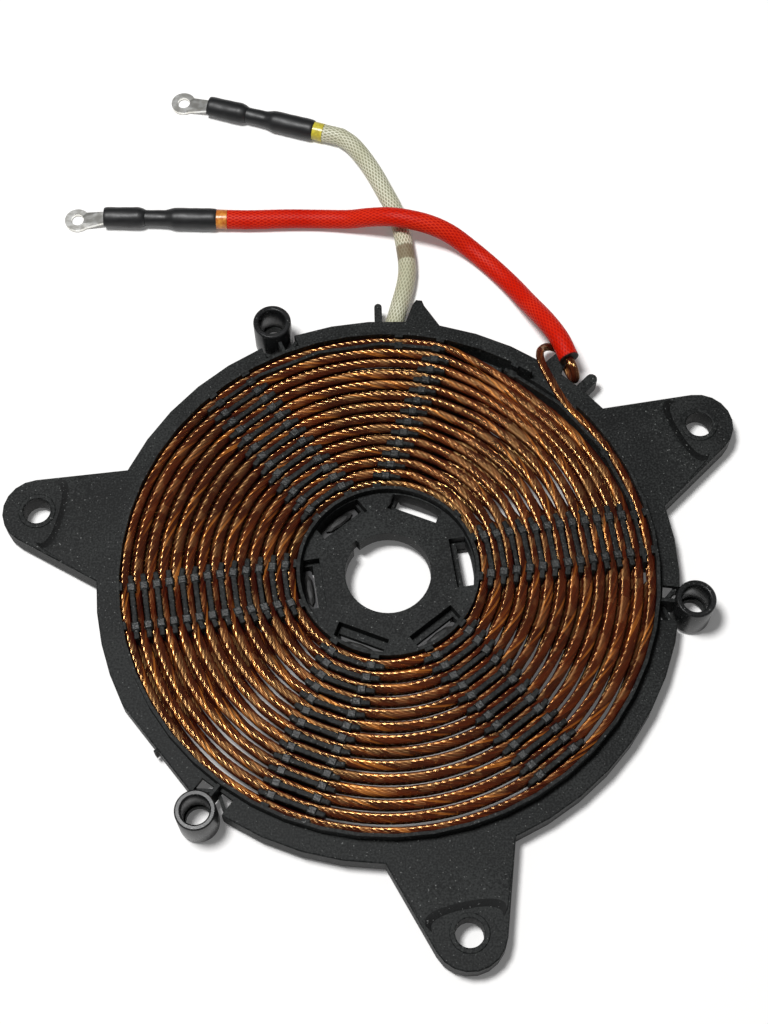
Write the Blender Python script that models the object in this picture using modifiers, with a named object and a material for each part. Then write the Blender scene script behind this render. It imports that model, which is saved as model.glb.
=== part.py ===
"""Flat work coil of an induction hob: a moulded former, a two-layer litz winding, ferrite bars and two leads.

Lengths are in metres and +Z is up. The coil's own frame has its axis at the centre of the hub hole and
z = 0 on the surface that the former stands on. An empty then carries every piece to the middle of the
former's box.
"""

import math

import bmesh
import bpy
import numpy as np
from mathutils import Vector

# Grooves of the former
COIL_WALL_RADIUS = 0.0900
RING_WALL_RADIUS = 0.02992
GROOVE_PITCH = 0.00427
DIVIDER_THICKNESS = 0.00115
DIVIDER_ROOT = 0.0007

# Spokes, as angles about the axis
SPOKE_ANGLES = (9.0, 69.0, 129.0, 189.0, 249.0, 309.0)
CROSSOVER_SPOKE = 69.0
HALF_SECTOR = 30.0
HALF_STEP = 7.5
FIRST_ANGLE = 1.5
STEP = 15.0

# Clip heads on the dividers
HEAD_OFFSET = 0.0070
HEAD_LENGTH = 0.0028
HEAD_WIDTH = 0.00225
HEAD_HEIGHT = 0.0015
HEAD_SINK = 0.0001
CROSSOVER_HEAD_OFFSET = 0.0134
CROSSOVER_REACH = 0.0035
SHELF_INSET = 0.0029
SHELF_MARGIN = 0.0010
SHELF_SPAN = (0.0085, 0.0152)
SHELF_SINK = 0.0010
SHELF_RISE = 0.0004

# Winding
WIRE_DIAMETER = 0.0025
WIRE_SEAT = 0.00045
LAYER_PITCH = 0.0030
HEAD_CLEARANCE = 0.00035
LOWER_LOOPS = 8
TURN_STEPS = 24
START_STEP = 7
SHIFT_STEP = 4
CROSSING_STEPS = 2
CLIMB_STEPS = 12
CROSSING_SHARES = (0.333, 0.667)
GAP = 0.0003

# Heights of the former
TRAY_DEPTH = 0.0052
WEB_THICKNESS = 0.0020
RIM_STEP_DOWN = 0.0050
PLATE_THICKNESS = 0.0020
SKIRT_CLEARANCE = 0.0020
SKIRT_THICKNESS = 0.0015
HUB_TOP_STEP_DOWN = 0.0035
HUB_PLATE = 0.0020

# Rim, ears and their screw holes
RIM_WIDTH = 0.0077
RIM_CHAMFER = 0.0004
FLAT_ANGLES = (207.7, 230.1)
EAR_ANGLES = (27.4, 168.9, 281.9)
EAR_REACH = 0.0241
EAR_HOLE_DIAMETER = 0.0093
EAR_TIP_RADIUS = 0.0119
EAR_ROOT_HALF_WIDTH = 0.0210
EAR_GROOVE_REACH = 0.0123
EAR_GROOVE_WIDTH = 0.0022
EAR_GROOVE_DEPTH = 0.0005
EAR_RING_WIDTH = 0.0012
EAR_RING_HEIGHT = 0.0003
EAR_RING_SETBACK = 0.0004
EAR_SOCKET_WALL = 0.0020
RIB_THICKNESS = 0.0012
RIB_RISE = 0.0010
RIB_EMBED = 0.0004
EAR_RIB_CLEARANCE = 16.0
EAR_TIP_STEPS = 8
RIM_ARC_STEP = 7.5
RIM_RIBS = 12
RIM_RIB_OFFSET = 9.0

# Screw bosses on the rim
BOSS_ANGLES = (113.6, 233.6, 353.6)
BOSS_REACH = 0.0044
BOSS_DIAMETER = 0.0133
BOSS_BORE = 0.0095
BOSS_LEDGE_BORE = 0.0085
BOSS_LEDGE_HEIGHT = 0.0030
BOSS_BOTTOM = 0.0017
BOSS_HEIGHT = 0.0150
BOSS_CHAMFER = 0.0006
BOSS_RIB_DROP = 0.0020
BOSS_BAY_HALF_WIDTH = 0.0062
BOSS_BAY_MARGIN = 0.0016
BOSS_ARM_SPREAD = 56.0

# Hub
HUB_HOLE_RADIUS = 0.0144
HUB_KEY_RADIUS = 0.0160
HUB_KEY_ANGLES = (132.0, 143.0)
WINDOW_DEPTH = 0.0079
WINDOW_HALF_WIDTH = 0.00885
WINDOW_RING_MARGIN = 0.0004
SLOT_DEPTH = 0.0054
SLOT_HALF_WIDTH = 0.0080
HUB_POCKET_RADII = (0.0169, 0.0203)
HUB_POCKET_HALF_ANGLE = 22.0
HUB_LIFT = 0.0002
SPOKE_SEAT = 0.0003

# Trays and ferrite bars under the spokes
FERRITE_WIDTH = 0.0150
FERRITE_THICKNESS = 0.0043
FERRITE_CHAMFER = 0.0006
FERRITE_INSET = 0.0049
FERRITE_SHIFT = 0.0043
FERRITE_END_ROOM = 0.0011
SHORT_END_SPOKES = (9.0, 69.0)
TRAY_WALL = 0.0014
TRAY_INSET = 0.0064
TRAY_END_WALL = 0.0016
RESIN_LENGTH = 0.0030
RESIN_WIDTH = 0.0120
RESIN_HEIGHT = 0.0019

# Wall beside the outermost groove
INNER_WALL_STEPS = ((0, 4), (5, 9))
BRIDGE_ANGLES = (31.5, 58.0, 79.0, 109.0)
BRIDGE_WIDTH = 0.0040
OUTER_WALL_HEADS = (4.5, 13.5, 60.0, 78.0, 87.5, 124.0, 133.0, 184.0, 193.0, 244.0, 253.0)
INNER_WALL_HEADS = (4.0, 13.3, 30.0, 59.5, 78.5, 87.5, 124.0, 133.0)
RING_WALL_HEADS = (22.0, 41.0, 97.0, 116.0, 142.0, 176.0, 203.0, 235.0, 262.0, 295.5, 322.0, 355.5)

# Ways out for the two ends of the winding
LOWER_EXIT_ANGLES = (84.6, 98.2)
UPPER_EXIT_ANGLES = (43.0, 56.0)
TAB_REACH = 0.0092
TAB_TIP_WIDTH = 0.0042
TAB_SHOULDER_SHARE = 0.78
WHITE_TAB_ANGLE = 82.7
WHITE_TAB_WIDTH = 0.0122
WHITE_TAB_LEAN = 0.0024
RED_TAB_ANGLE = 53.5
RED_TAB_WIDTH = 0.0070
RED_TAB_LEAN = 0.0
FINGER_REACH = 0.0080
WHITE_FINGER_ANGLE = 91.95
WHITE_FINGER_WIDTH = 0.0027
RED_FINGER_ANGLE = 46.2
RED_FINGER_WIDTH = 0.0040
SKIRT_GATE_MARGIN = 0.0006
LOWER_EXIT_NOTCH = 0.0005

# Paths of the two ends of the winding. Lower end: angle, grooves outside the first one, share of the rise.
# Upper end: share of the rim's width outside the coil wall, angle, share of the way from under the plate
# to over it.
LOWER_END_SHARES = (
    (90.9, 0.55, 0.28),
    (92.9, 0.14, 0.56),
    (95.6, 0.0, 0.88),
    (99.0, 0.0, 1.0),
)
UPPER_END_SHARES = (
    (-0.3005, 39.5, 1.05),
    (-0.2561, 43.8, 1.03),
    (-0.0278, 48.2, 1.0),
    (0.3275, 51.9, 1.0),
    (0.6955, 55.0, 1.0),
    (1.0380, 56.8, 1.0),
    (1.3426, 57.5, 0.80),
    (1.6091, 57.8, 0.42),
    (1.9262, 57.6, 0.12),
    (2.1420, 56.5, 0.0),
    (2.1420, 55.0, 0.0),
    (1.8121, 53.4, 0.0),
)
MOUTH_RUN_SHARE = 1.5

# Leads, their routes as shares of the rim's radius with the height at each point
RED_SLEEVE_DIAMETER = 0.0072
WHITE_SLEEVE_DIAMETER = 0.0068
CORD_BEVEL = 3
CORD_POINT_SPACING = 2.0
RED_ROUTE_SHARES = (
    (0.6520, 0.8168),
    (0.6192, 0.9007),
    (0.5732, 0.9908),
    (0.5169, 1.0901),
    (0.4565, 1.1873),
    (0.3838, 1.2743),
    (0.3091, 1.3408),
    (0.2354, 1.3818),
    (0.1607, 1.4053),
    (0.0798, 1.4237),
    (0.0041, 1.4401),
    (-0.0716, 1.4565),
    (-0.1484, 1.4698),
    (-0.2559, 1.4811),
    (-0.3715, 1.4831),
    (-0.4852, 1.4800),
    (-0.5343, 1.4790),
)
RED_ROUTE_HEIGHTS = (
    0.0141, 0.0141, 0.0117, 0.0076, 0.0047, 0.0038, 0.0049, 0.0083, 0.0110,
    0.0120, 0.0113, 0.0085, 0.0053, 0.0038, 0.0037, 0.0037, 0.0037,
)
WHITE_ROUTE_SHARES = (
    (0.0102, 0.9672),
    (0.0266, 1.0338),
    (0.0450, 1.1064),
    (0.0614, 1.1709),
    (0.0716, 1.2354),
    (0.0716, 1.2927),
    (0.0655, 1.3449),
    (0.0573, 1.3982),
    (0.0450, 1.4565),
    (0.0205, 1.5333),
    (-0.0164, 1.6141),
    (-0.0563, 1.6970),
    (-0.0983, 1.7687),
    (-0.1392, 1.8240),
    (-0.1822, 1.8598),
)
WHITE_ROUTE_HEIGHTS = (
    0.0040, 0.0038, 0.0036, 0.0035, 0.0035, 0.0035, 0.0035, 0.0035, 0.0035,
    0.0035, 0.0035, 0.0035, 0.0035, 0.0035, 0.0035,
)
TAPE_LENGTH = 0.0036
RED_END_HEADING = 178.5
WHITE_END_HEADING = 164.0
SHRINK_DIAMETER = 0.0079
SHRINK_LENGTH = 0.0158
NECK_DIAMETER = 0.0060
NECK_LENGTH = 0.0075
SHRINK_TAPER = 0.0030
CRIMP_SHRINK_LENGTH = 0.0150
CRIMP_SHRINK_DIAMETER = 0.0078
CRIMP_LIP_DEPTH = 0.00075
CRIMP_LIP_LENGTH = 0.0015
CRIMP_DIAMETER = 0.0046
CRIMP_STUB = 0.0018
TERMINAL_OUTSIDE = 0.0093
TERMINAL_HOLE = 0.0047
TERMINAL_THICKNESS = 0.0010
TERMINAL_NECK_WIDTH = 0.0052
TERMINAL_RISE = 0.0004
TERMINAL_SPAN = 0.0052

# Values that follow from the ones above
WIRE_RADIUS = WIRE_DIAMETER / 2
HALF_DIVIDER = DIVIDER_THICKNESS / 2
WEB_TOP = TRAY_DEPTH + WEB_THICKNESS
LOWER_LAYER = WEB_TOP + WIRE_SEAT + WIRE_RADIUS
UPPER_LAYER = LOWER_LAYER + LAYER_PITCH
HEAD_UNDERSIDE = UPPER_LAYER + WIRE_RADIUS + HEAD_CLEARANCE
WALL_TOP = HEAD_UNDERSIDE + HEAD_HEIGHT
PLATE_TOP = WALL_TOP - RIM_STEP_DOWN
PLATE_BOTTOM = PLATE_TOP - PLATE_THICKNESS
HUB_TOP = WALL_TOP - HUB_TOP_STEP_DOWN
GROOVES = int((COIL_WALL_RADIUS - RING_WALL_RADIUS) / GROOVE_PITCH)
RIM_RADIUS = COIL_WALL_RADIUS + RIM_WIDTH
EAR_HOLE_RADIUS = RIM_RADIUS + EAR_REACH
EAR_GROOVE_RADIUS = RIM_RADIUS + EAR_GROOVE_REACH
BOSS_RADIUS = RIM_RADIUS + BOSS_REACH
WINDOW_START = RING_WALL_RADIUS - WINDOW_DEPTH
SLOT_START = RING_WALL_RADIUS - SLOT_DEPTH
TRAY_START = RING_WALL_RADIUS - TRAY_INSET
FERRITE_INNER_END = RING_WALL_RADIUS - FERRITE_INSET
FERRITE_SHORT_END = FERRITE_INNER_END + FERRITE_SHIFT
FERRITE_LENGTH = COIL_WALL_RADIUS - TRAY_END_WALL - FERRITE_END_ROOM - FERRITE_SHORT_END
BORE_MARGIN = WALL_TOP
TRAY_HALF_WIDTH = FERRITE_WIDTH / 2 + GAP + TRAY_WALL
WELD_DISTANCE = 0.000002
CIRCLE_STEPS = 48
SMALL_CIRCLE_STEPS = 18
BEND_STEPS = 7
RING_STEPS = 16
FINGER_STEPS = 6
FINE_STEPS = 12
DAB_SEGMENTS = 8
DAB_RINGS = 5
SAMPLE_BLOCK = 200
NEAR_DIAMETERS = 4
UPRIGHT_LIMIT = 0.5
FLAT_LIMIT = 0.1
SHARP_ANGLE = 35.0
UP = Vector((0.0, 0.0, 1.0))
WALL_BOTTOM = SKIRT_CLEARANCE + RIB_EMBED
BAR_FOOT = WEB_TOP - DIVIDER_ROOT
HEAD_OVERHANG = (HEAD_WIDTH - DIVIDER_THICKNESS) / 2
WALLED_SPOKES = (9.0, 69.0, 129.0)

COLOURS = {
    "former": ((0.022, 0.023, 0.024), 0.55, 0.0),
    "litz": ((0.30, 0.09, 0.035), 0.35, 0.8),
    "ferrite": ((0.035, 0.034, 0.036), 0.5, 0.2),
    "resin": ((0.06, 0.055, 0.05), 0.25, 0.0),
    "red_sleeving": ((0.62, 0.03, 0.01), 0.6, 0.0),
    "white_sleeving": ((0.60, 0.61, 0.50), 0.6, 0.0),
    "tape": ((0.75, 0.45, 0.06), 0.4, 0.0),
    "shrink": ((0.012, 0.012, 0.013), 0.42, 0.0),
    "tin": ((0.72, 0.72, 0.70), 0.28, 1.0),
}


def clear_scene():
    """Removes what the scene holds, so that the model is all of it."""
    for obj in list(bpy.data.objects):
        bpy.data.objects.remove(obj)


def material(name):
    """The Principled material of this name, made once."""
    found = bpy.data.materials.get(name)
    if found:
        return found
    colour, roughness, metallic = COLOURS[name]
    made = bpy.data.materials.new(name)
    made.use_nodes = True
    shader = made.node_tree.nodes["Principled BSDF"]
    shader.inputs["Base Color"].default_value = (*colour, 1.0)
    shader.inputs["Roughness"].default_value = roughness
    shader.inputs["Metallic"].default_value = metallic
    made.diffuse_color = (*colour, 1.0)
    return made


def polar(radius, degrees):
    """The point (x, y) at a radius and an angle about the axis."""
    angle = math.radians(degrees)
    return Vector((radius * math.cos(angle), radius * math.sin(angle)))


def local(along, across, degrees):
    """The point that lies along, and across to the left of, the ray at this angle."""
    return polar(along, degrees) + polar(across, degrees + 90)


def divider_radius(index):
    """The radius of a divider, counted inwards from the coil wall."""
    return COIL_WALL_RADIUS - index * GROOVE_PITCH


def groove_radius(index):
    """The radius of the middle of a groove."""
    return divider_radius(index) - GROOVE_PITCH / 2


def circle(radius, steps=CIRCLE_STEPS, centre=(0.0, 0.0)):
    """A closed round outline."""
    middle = Vector(centre)
    return [middle + polar(radius, FIRST_ANGLE + 360 * step / steps) for step in range(steps)]


def arc(radius, start, end, steps):
    """Points on a circle about the axis, both ends included."""
    return [polar(radius, start + (end - start) * step / steps) for step in range(steps + 1)]


def box_outline(inner, outer, half_width, degrees, offset=0.0):
    """A rectangle along the ray at this angle, between two distances from the axis."""
    return [
        local(inner, offset - half_width, degrees),
        local(outer, offset - half_width, degrees),
        local(outer, offset + half_width, degrees),
        local(inner, offset + half_width, degrees),
    ]


def baked(obj, name):
    """A mesh object with the evaluated shape of obj, welded and facing out; obj is removed."""
    graph = bpy.context.evaluated_depsgraph_get()
    mesh = bpy.data.meshes.new_from_object(obj.evaluated_get(graph))
    matrix = obj.matrix_world.copy()
    bpy.data.objects.remove(obj)
    shape = bmesh.new()
    shape.from_mesh(mesh)
    bmesh.ops.remove_doubles(shape, verts=shape.verts, dist=WELD_DISTANCE)
    bmesh.ops.recalc_face_normals(shape, faces=shape.faces)
    shape.to_mesh(mesh)
    shape.free()
    made = bpy.data.objects.new(name, mesh)
    made.matrix_world = matrix
    bpy.context.scene.collection.objects.link(made)
    return made


def slab(outlines, bottom, top, name="slab"):
    """Flat outlines raised between two heights; an outline inside another is a hole."""
    curve = bpy.data.curves.new(name, "CURVE")
    curve.dimensions = "2D"
    curve.fill_mode = "BOTH"
    curve.extrude = (top - bottom) / 2
    for outline in outlines:
        spline = curve.splines.new("POLY")
        spline.points.add(len(outline) - 1)
        spline.use_cyclic_u = True
        for point, place in zip(spline.points, outline):
            point.co = (place[0], place[1], 0.0, 1.0)
    obj = bpy.data.objects.new(name, curve)
    bpy.context.scene.collection.objects.link(obj)
    bpy.context.view_layer.update()
    made = baked(obj, name)
    for vert in made.data.vertices:
        vert.co.z = top if vert.co.z > 0 else bottom
    return made


def turned(profile, steps, centre, name="turned"):
    """A closed profile of (radius, height) turned about an upright axis at centre."""
    mesh = bpy.data.meshes.new(name)
    shape = bmesh.new()
    corners = [shape.verts.new((radius, 0.0, height)) for radius, height in profile]
    for first, second in zip(corners, corners[1:] + corners[:1]):
        shape.edges.new((first, second))
    shape.to_mesh(mesh)
    shape.free()
    obj = bpy.data.objects.new(name, mesh)
    bpy.context.scene.collection.objects.link(obj)
    screw = obj.modifiers.new("turn", "SCREW")
    screw.steps = steps
    screw.render_steps = steps
    screw.use_merge_vertices = True
    screw.merge_threshold = WELD_DISTANCE
    obj.location = (centre[0], centre[1], 0.0)
    bpy.context.view_layer.update()
    return baked(obj, name)


def combine(body, tool, operation, solver="EXACT"):
    """The union or difference of body and tool, as body; the tool is removed."""
    modifier = body.modifiers.new(operation.lower(), "BOOLEAN")
    modifier.operation = operation
    modifier.object = tool
    modifier.solver = solver
    tool.hide_render = True
    bpy.context.view_layer.update()
    graph = bpy.context.evaluated_depsgraph_get()
    mesh = bpy.data.meshes.new_from_object(body.evaluated_get(graph))
    body.modifiers.clear()
    body.data = mesh
    bpy.data.objects.remove(tool)
    return body


def add(body, tool):
    """The body joined with the tool."""
    return combine(body, tool, "UNION")


def cut(body, tool):
    """The body with the tool's shape taken out."""
    return combine(body, tool, "DIFFERENCE")


def tidied(body):
    """Merges the flat faces that the cuts left in pieces."""
    shape = bmesh.new()
    shape.from_mesh(body.data)
    limit = math.radians(FLAT_LIMIT)
    bmesh.ops.dissolve_limit(shape, angle_limit=limit, verts=shape.verts, edges=shape.edges)
    shape.to_mesh(body.data)
    shape.free()
    return body


def ear_points(degrees, inset):
    """An ear's outline: two sides that close in on the round tip about the screw hole."""
    rim = RIM_RADIUS - inset
    width = EAR_ROOT_HALF_WIDTH - inset
    tip = EAR_TIP_RADIUS - inset
    root = math.sqrt(rim**2 - width**2)
    run = EAR_HOLE_RADIUS - root
    heading = math.atan2(width, run) - math.asin(tip / math.hypot(run, width))
    turn = math.pi - 2 * heading
    points = [local(root, -width, degrees)]
    for step in range(EAR_TIP_STEPS + 1):
        angle = -math.pi / 2 + heading + turn * step / EAR_TIP_STEPS
        points.append(
            local(EAR_HOLE_RADIUS + tip * math.cos(angle), tip * math.sin(angle), degrees)
        )
    points.append(local(root, width, degrees))
    spread = math.degrees(math.asin(width / rim))
    return degrees - spread, degrees + spread, points


def tab_points(degrees, width, lean, inset):
    """A flat tongue on the rim with a blunt rounded tip."""
    rim = RIM_RADIUS - inset
    half = width / 2 - inset
    tip = TAB_TIP_WIDTH / 2 - inset * TAB_SHOULDER_SHARE
    shoulder = rim + TAB_REACH * TAB_SHOULDER_SHARE
    reach = rim + TAB_REACH
    root = math.sqrt(rim**2 - half**2)
    points = [
        local(root, -half, degrees),
        local(shoulder, lean - tip, degrees),
        local(reach, lean - tip / 2, degrees),
        local(reach, lean + tip / 2, degrees),
        local(shoulder, lean + tip, degrees),
        local(root, half, degrees),
    ]
    spread = math.degrees(math.asin(half / rim))
    return degrees - spread, degrees + spread, points


def rim_outline(inset=0.0):
    """The outline of the rim with its ears, its tabs and its flat, drawn in by inset."""
    features = [ear_points(degrees, inset) for degrees in EAR_ANGLES]
    features.append(tab_points(WHITE_TAB_ANGLE, WHITE_TAB_WIDTH, WHITE_TAB_LEAN, inset))
    features.append(tab_points(RED_TAB_ANGLE, RED_TAB_WIDTH, RED_TAB_LEAN, inset))
    ends = [polar(RIM_RADIUS - inset, angle) for angle in FLAT_ANGLES]
    features.append((FLAT_ANGLES[0], FLAT_ANGLES[1], ends))
    features.sort(key=lambda feature: feature[0])
    outline = []
    following = features[1:] + [(features[0][0] + 360, 0, [])]
    for (_, end, points), (start, _, _) in zip(features, following):
        outline += points
        steps = max(1, round((start - end) / RIM_ARC_STEP))
        outline += arc(RIM_RADIUS - inset, end, start, steps)[1:-1]
    return outline


def bevelled_top(body, height):
    """Takes a small chamfer off the outer edges at this height."""
    shape = bmesh.new()
    shape.from_mesh(body.data)
    flat = [face for face in shape.faces if face.normal.z > UPRIGHT_LIMIT]
    bmesh.ops.dissolve_faces(shape, faces=flat)
    level = height - WELD_DISTANCE
    edges = [edge for edge in shape.edges if all(vert.co.z > level for vert in edge.verts)]
    bmesh.ops.bevel(
        shape,
        geom=edges,
        offset=RIM_CHAMFER,
        offset_type="OFFSET",
        segments=1,
        affect="EDGES",
        profile=0.5,
    )
    shape.to_mesh(body.data)
    shape.free()
    return body


def rim():
    """The rim plate with its ears, hollow below inside a thin skirt."""
    body = slab([rim_outline()], SKIRT_CLEARANCE, PLATE_TOP, "coil_former")
    body = bevelled_top(body, PLATE_TOP)
    body = cut(body, slab([rim_outline(SKIRT_THICKNESS)], -BORE_MARGIN, PLATE_BOTTOM))
    return cut(body, slab([circle(COIL_WALL_RADIUS)], PLATE_BOTTOM / 2, PLATE_TOP + BORE_MARGIN))


def stiffeners():
    """Radial ribs under the rim plate and along each ear."""
    inner = COIL_WALL_RADIUS - SPOKE_SEAT
    outer = RIM_RADIUS - SKIRT_THICKNESS / 2
    angles = [RIM_RIB_OFFSET + 360 * index / RIM_RIBS for index in range(RIM_RIBS)]
    outlines = []
    for degrees in angles:
        near_ear = any(abs((degrees - ear + 180) % 360 - 180) < EAR_RIB_CLEARANCE for ear in EAR_ANGLES)
        near_exit = WHITE_TAB_ANGLE - HALF_STEP < degrees < WHITE_FINGER_ANGLE + HALF_STEP
        if not near_ear and not near_exit:
            outlines.append(box_outline(inner, outer, RIB_THICKNESS / 2, degrees))
    reach = EAR_HOLE_RADIUS - EAR_HOLE_DIAMETER / 2 - EAR_SOCKET_WALL / 2
    for degrees in EAR_ANGLES:
        outlines.append(box_outline(inner, reach, RIB_THICKNESS / 2, degrees))
    return slab(outlines, SKIRT_CLEARANCE + RIB_RISE, PLATE_BOTTOM + RIB_EMBED)


def ear_sockets():
    """The tubes under the ears that the fixing screws pass through, with a low ring on top."""
    hole = EAR_HOLE_DIAMETER / 2
    outside = hole + EAR_SOCKET_WALL
    ring = hole + EAR_RING_SETBACK
    crown = PLATE_TOP + EAR_RING_HEIGHT
    profile = [
        (hole, SKIRT_CLEARANCE + RIB_EMBED),
        (outside, SKIRT_CLEARANCE + RIB_EMBED),
        (outside, PLATE_TOP - RIB_EMBED),
        (ring + EAR_RING_WIDTH, PLATE_TOP - RIB_EMBED),
        (ring + EAR_RING_WIDTH, crown),
        (ring, crown),
        (hole, PLATE_TOP),
    ]
    return [
        turned(profile, SMALL_CIRCLE_STEPS, polar(EAR_HOLE_RADIUS, degrees)) for degrees in EAR_ANGLES
    ]


def ear_holes():
    """The holes in the ears that the tubes line."""
    hole = EAR_HOLE_DIAMETER / 2 + RIB_EMBED
    outlines = [
        circle(hole, SMALL_CIRCLE_STEPS, polar(EAR_HOLE_RADIUS, degrees)) for degrees in EAR_ANGLES
    ]
    return slab(outlines, -BORE_MARGIN, PLATE_TOP + BORE_MARGIN)


def ear_grooves():
    """A shallow round groove that sets each ear's pad apart from the rim."""
    half = EAR_GROOVE_WIDTH / 2
    outlines = []
    for degrees in EAR_ANGLES:
        outer = arc(EAR_GROOVE_RADIUS + half, degrees - HALF_STEP, degrees + HALF_STEP, 6)
        inner = arc(EAR_GROOVE_RADIUS - half, degrees + HALF_STEP, degrees - HALF_STEP, 6)
        outlines.append(outer + inner)
    return slab(outlines, PLATE_TOP - EAR_GROOVE_DEPTH, PLATE_TOP + BORE_MARGIN)


def bosses():
    """Upright screw bosses outside the rim, each with a ledge low in its bore and a chamfered lip."""
    outside = BOSS_DIAMETER / 2
    bore = BOSS_BORE / 2
    top = BOSS_BOTTOM + BOSS_HEIGHT
    ledge = BOSS_BOTTOM + BOSS_LEDGE_HEIGHT
    profile = [
        (BOSS_LEDGE_BORE / 2, BOSS_BOTTOM),
        (outside, BOSS_BOTTOM),
        (outside, top - BOSS_CHAMFER),
        (outside - BOSS_CHAMFER, top),
        (bore + BOSS_CHAMFER, top),
        (bore, top - BOSS_CHAMFER),
        (bore, ledge),
        (BOSS_LEDGE_BORE / 2, ledge),
    ]
    return [turned(profile, SMALL_CIRCLE_STEPS, polar(BOSS_RADIUS, degrees)) for degrees in BOSS_ANGLES]


def boss_bays():
    """The openings in the rim plate that the bosses stand in."""
    inner = COIL_WALL_RADIUS + BOSS_BAY_MARGIN
    outlines = [
        box_outline(inner, BOSS_RADIUS, BOSS_BAY_HALF_WIDTH, degrees) for degrees in BOSS_ANGLES
    ]
    return slab(outlines, -BORE_MARGIN, PLATE_TOP + BORE_MARGIN)


def boss_ribs():
    """Each boss hangs on the coil wall by an upright rib that forks into two arms."""
    half = RIB_THICKNESS / 2
    wall = BOSS_DIAMETER / 2 - BOSS_BORE / 2
    fork = COIL_WALL_RADIUS + BOSS_BAY_MARGIN
    end = BOSS_RADIUS - BOSS_DIAMETER / 2 + wall / 2
    stems = []
    arms = []
    for degrees in BOSS_ANGLES:
        stems.append(box_outline(COIL_WALL_RADIUS - SPOKE_SEAT, end, half, degrees))
        root = polar(fork, degrees)
        for side in (-1, 1):
            heading = degrees + side * BOSS_ARM_SPREAD
            along = polar(BOSS_BAY_HALF_WIDTH + wall, heading)
            across = polar(half, heading + 90)
            arms.append([root - across, root + along - across, root + along + across, root + across])
    stem = slab(stems, SKIRT_CLEARANCE + RIB_RISE, WALL_TOP - BOSS_RIB_DROP)
    left = slab(arms[0::2], SKIRT_CLEARANCE + RIB_EMBED, PLATE_BOTTOM)
    right = slab(arms[1::2], SKIRT_CLEARANCE + RIB_EMBED * 2, PLATE_BOTTOM - RIB_EMBED)
    return [stem, left, right]


def coil_wall():
    """The round wall outside the winding."""
    outlines = [circle(COIL_WALL_RADIUS + HALF_DIVIDER), circle(COIL_WALL_RADIUS - HALF_DIVIDER)]
    return slab(outlines, WALL_BOTTOM, WALL_TOP)


def spokes():
    """Six radial webs that carry the dividers, each the roof of a ferrite tray."""
    outlines = [
        box_outline(TRAY_START, COIL_WALL_RADIUS - SPOKE_SEAT, TRAY_HALF_WIDTH, degrees)
        for degrees in SPOKE_ANGLES
    ]
    return slab(outlines, 0.0, WEB_TOP)


def trays():
    """The hollows under the webs, open below and at the hub."""
    end = COIL_WALL_RADIUS - TRAY_END_WALL
    half = TRAY_HALF_WIDTH - TRAY_WALL
    outlines = [
        box_outline(TRAY_START - TRAY_END_WALL, end, half, degrees) for degrees in SPOKE_ANGLES
    ]
    return slab(outlines, -BORE_MARGIN, TRAY_DEPTH)


def crossover_shelf():
    """The floor beside the crossover spoke that its dividers stand on."""
    near, far = SHELF_SPAN
    half = (far - near) / 2
    start = RING_WALL_RADIUS - SHELF_INSET
    end = COIL_WALL_RADIUS - SHELF_MARGIN
    outline = box_outline(start, end, half, CROSSOVER_SPOKE, near + half)
    return slab([outline], BAR_FOOT - SHELF_SINK, BAR_FOOT + SHELF_RISE)


def hub():
    """The drum in the middle, with the ring wall that the innermost turn lies against."""
    bottom = TRAY_DEPTH + HUB_LIFT
    profile = [
        (HUB_HOLE_RADIUS, bottom),
        (RING_WALL_RADIUS + HALF_DIVIDER, bottom),
        (RING_WALL_RADIUS + HALF_DIVIDER, WALL_TOP),
        (RING_WALL_RADIUS - HALF_DIVIDER, WALL_TOP),
        (RING_WALL_RADIUS - HALF_DIVIDER, HUB_TOP),
        (HUB_HOLE_RADIUS, HUB_TOP),
    ]
    return turned(profile, CIRCLE_STEPS, (0.0, 0.0))


def window_outline(start, half_width, degrees):
    """A window that is straight at the hub and follows the ring wall at its outer end."""
    radius = RING_WALL_RADIUS - HALF_DIVIDER - WINDOW_RING_MARGIN
    spread = math.degrees(math.asin(half_width / radius))
    outer = arc(radius, degrees - spread, degrees + spread, 4)
    return [local(start, -half_width, degrees)] + outer + [local(start, half_width, degrees)]


def hub_windows():
    """Six sunk windows over the ends of the ferrite bars."""
    outlines = [window_outline(WINDOW_START, WINDOW_HALF_WIDTH, degrees) for degrees in SPOKE_ANGLES]
    return slab(outlines, WEB_TOP + HUB_LIFT, HUB_TOP + BORE_MARGIN)


def hub_slots():
    """The part of each window that goes right through."""
    outlines = [window_outline(SLOT_START, SLOT_HALF_WIDTH, degrees) for degrees in SPOKE_ANGLES]
    return slab(outlines, TRAY_DEPTH / 2, WEB_TOP + WEB_THICKNESS)


def hub_pockets():
    """Arched hollows under the drum that keep its walls thin."""
    inner, outer = HUB_POCKET_RADII
    outlines = []
    for degrees in SPOKE_ANGLES:
        start = degrees + HALF_SECTOR - HUB_POCKET_HALF_ANGLE
        end = degrees + HALF_SECTOR + HUB_POCKET_HALF_ANGLE
        outlines.append(arc(outer, start, end, 3) + arc(inner, end, start, 3))
    return slab(outlines, TRAY_DEPTH / 2, HUB_TOP - HUB_PLATE)


def hub_key():
    """The notch that keys the centre hole."""
    start, end = HUB_KEY_ANGLES
    inner = HUB_HOLE_RADIUS - HUB_PLATE
    outline = arc(HUB_KEY_RADIUS, start, end, 2) + [polar(inner, end), polar(inner, start)]
    return slab([outline], TRAY_DEPTH / 2, HUB_TOP + BORE_MARGIN)


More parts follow.
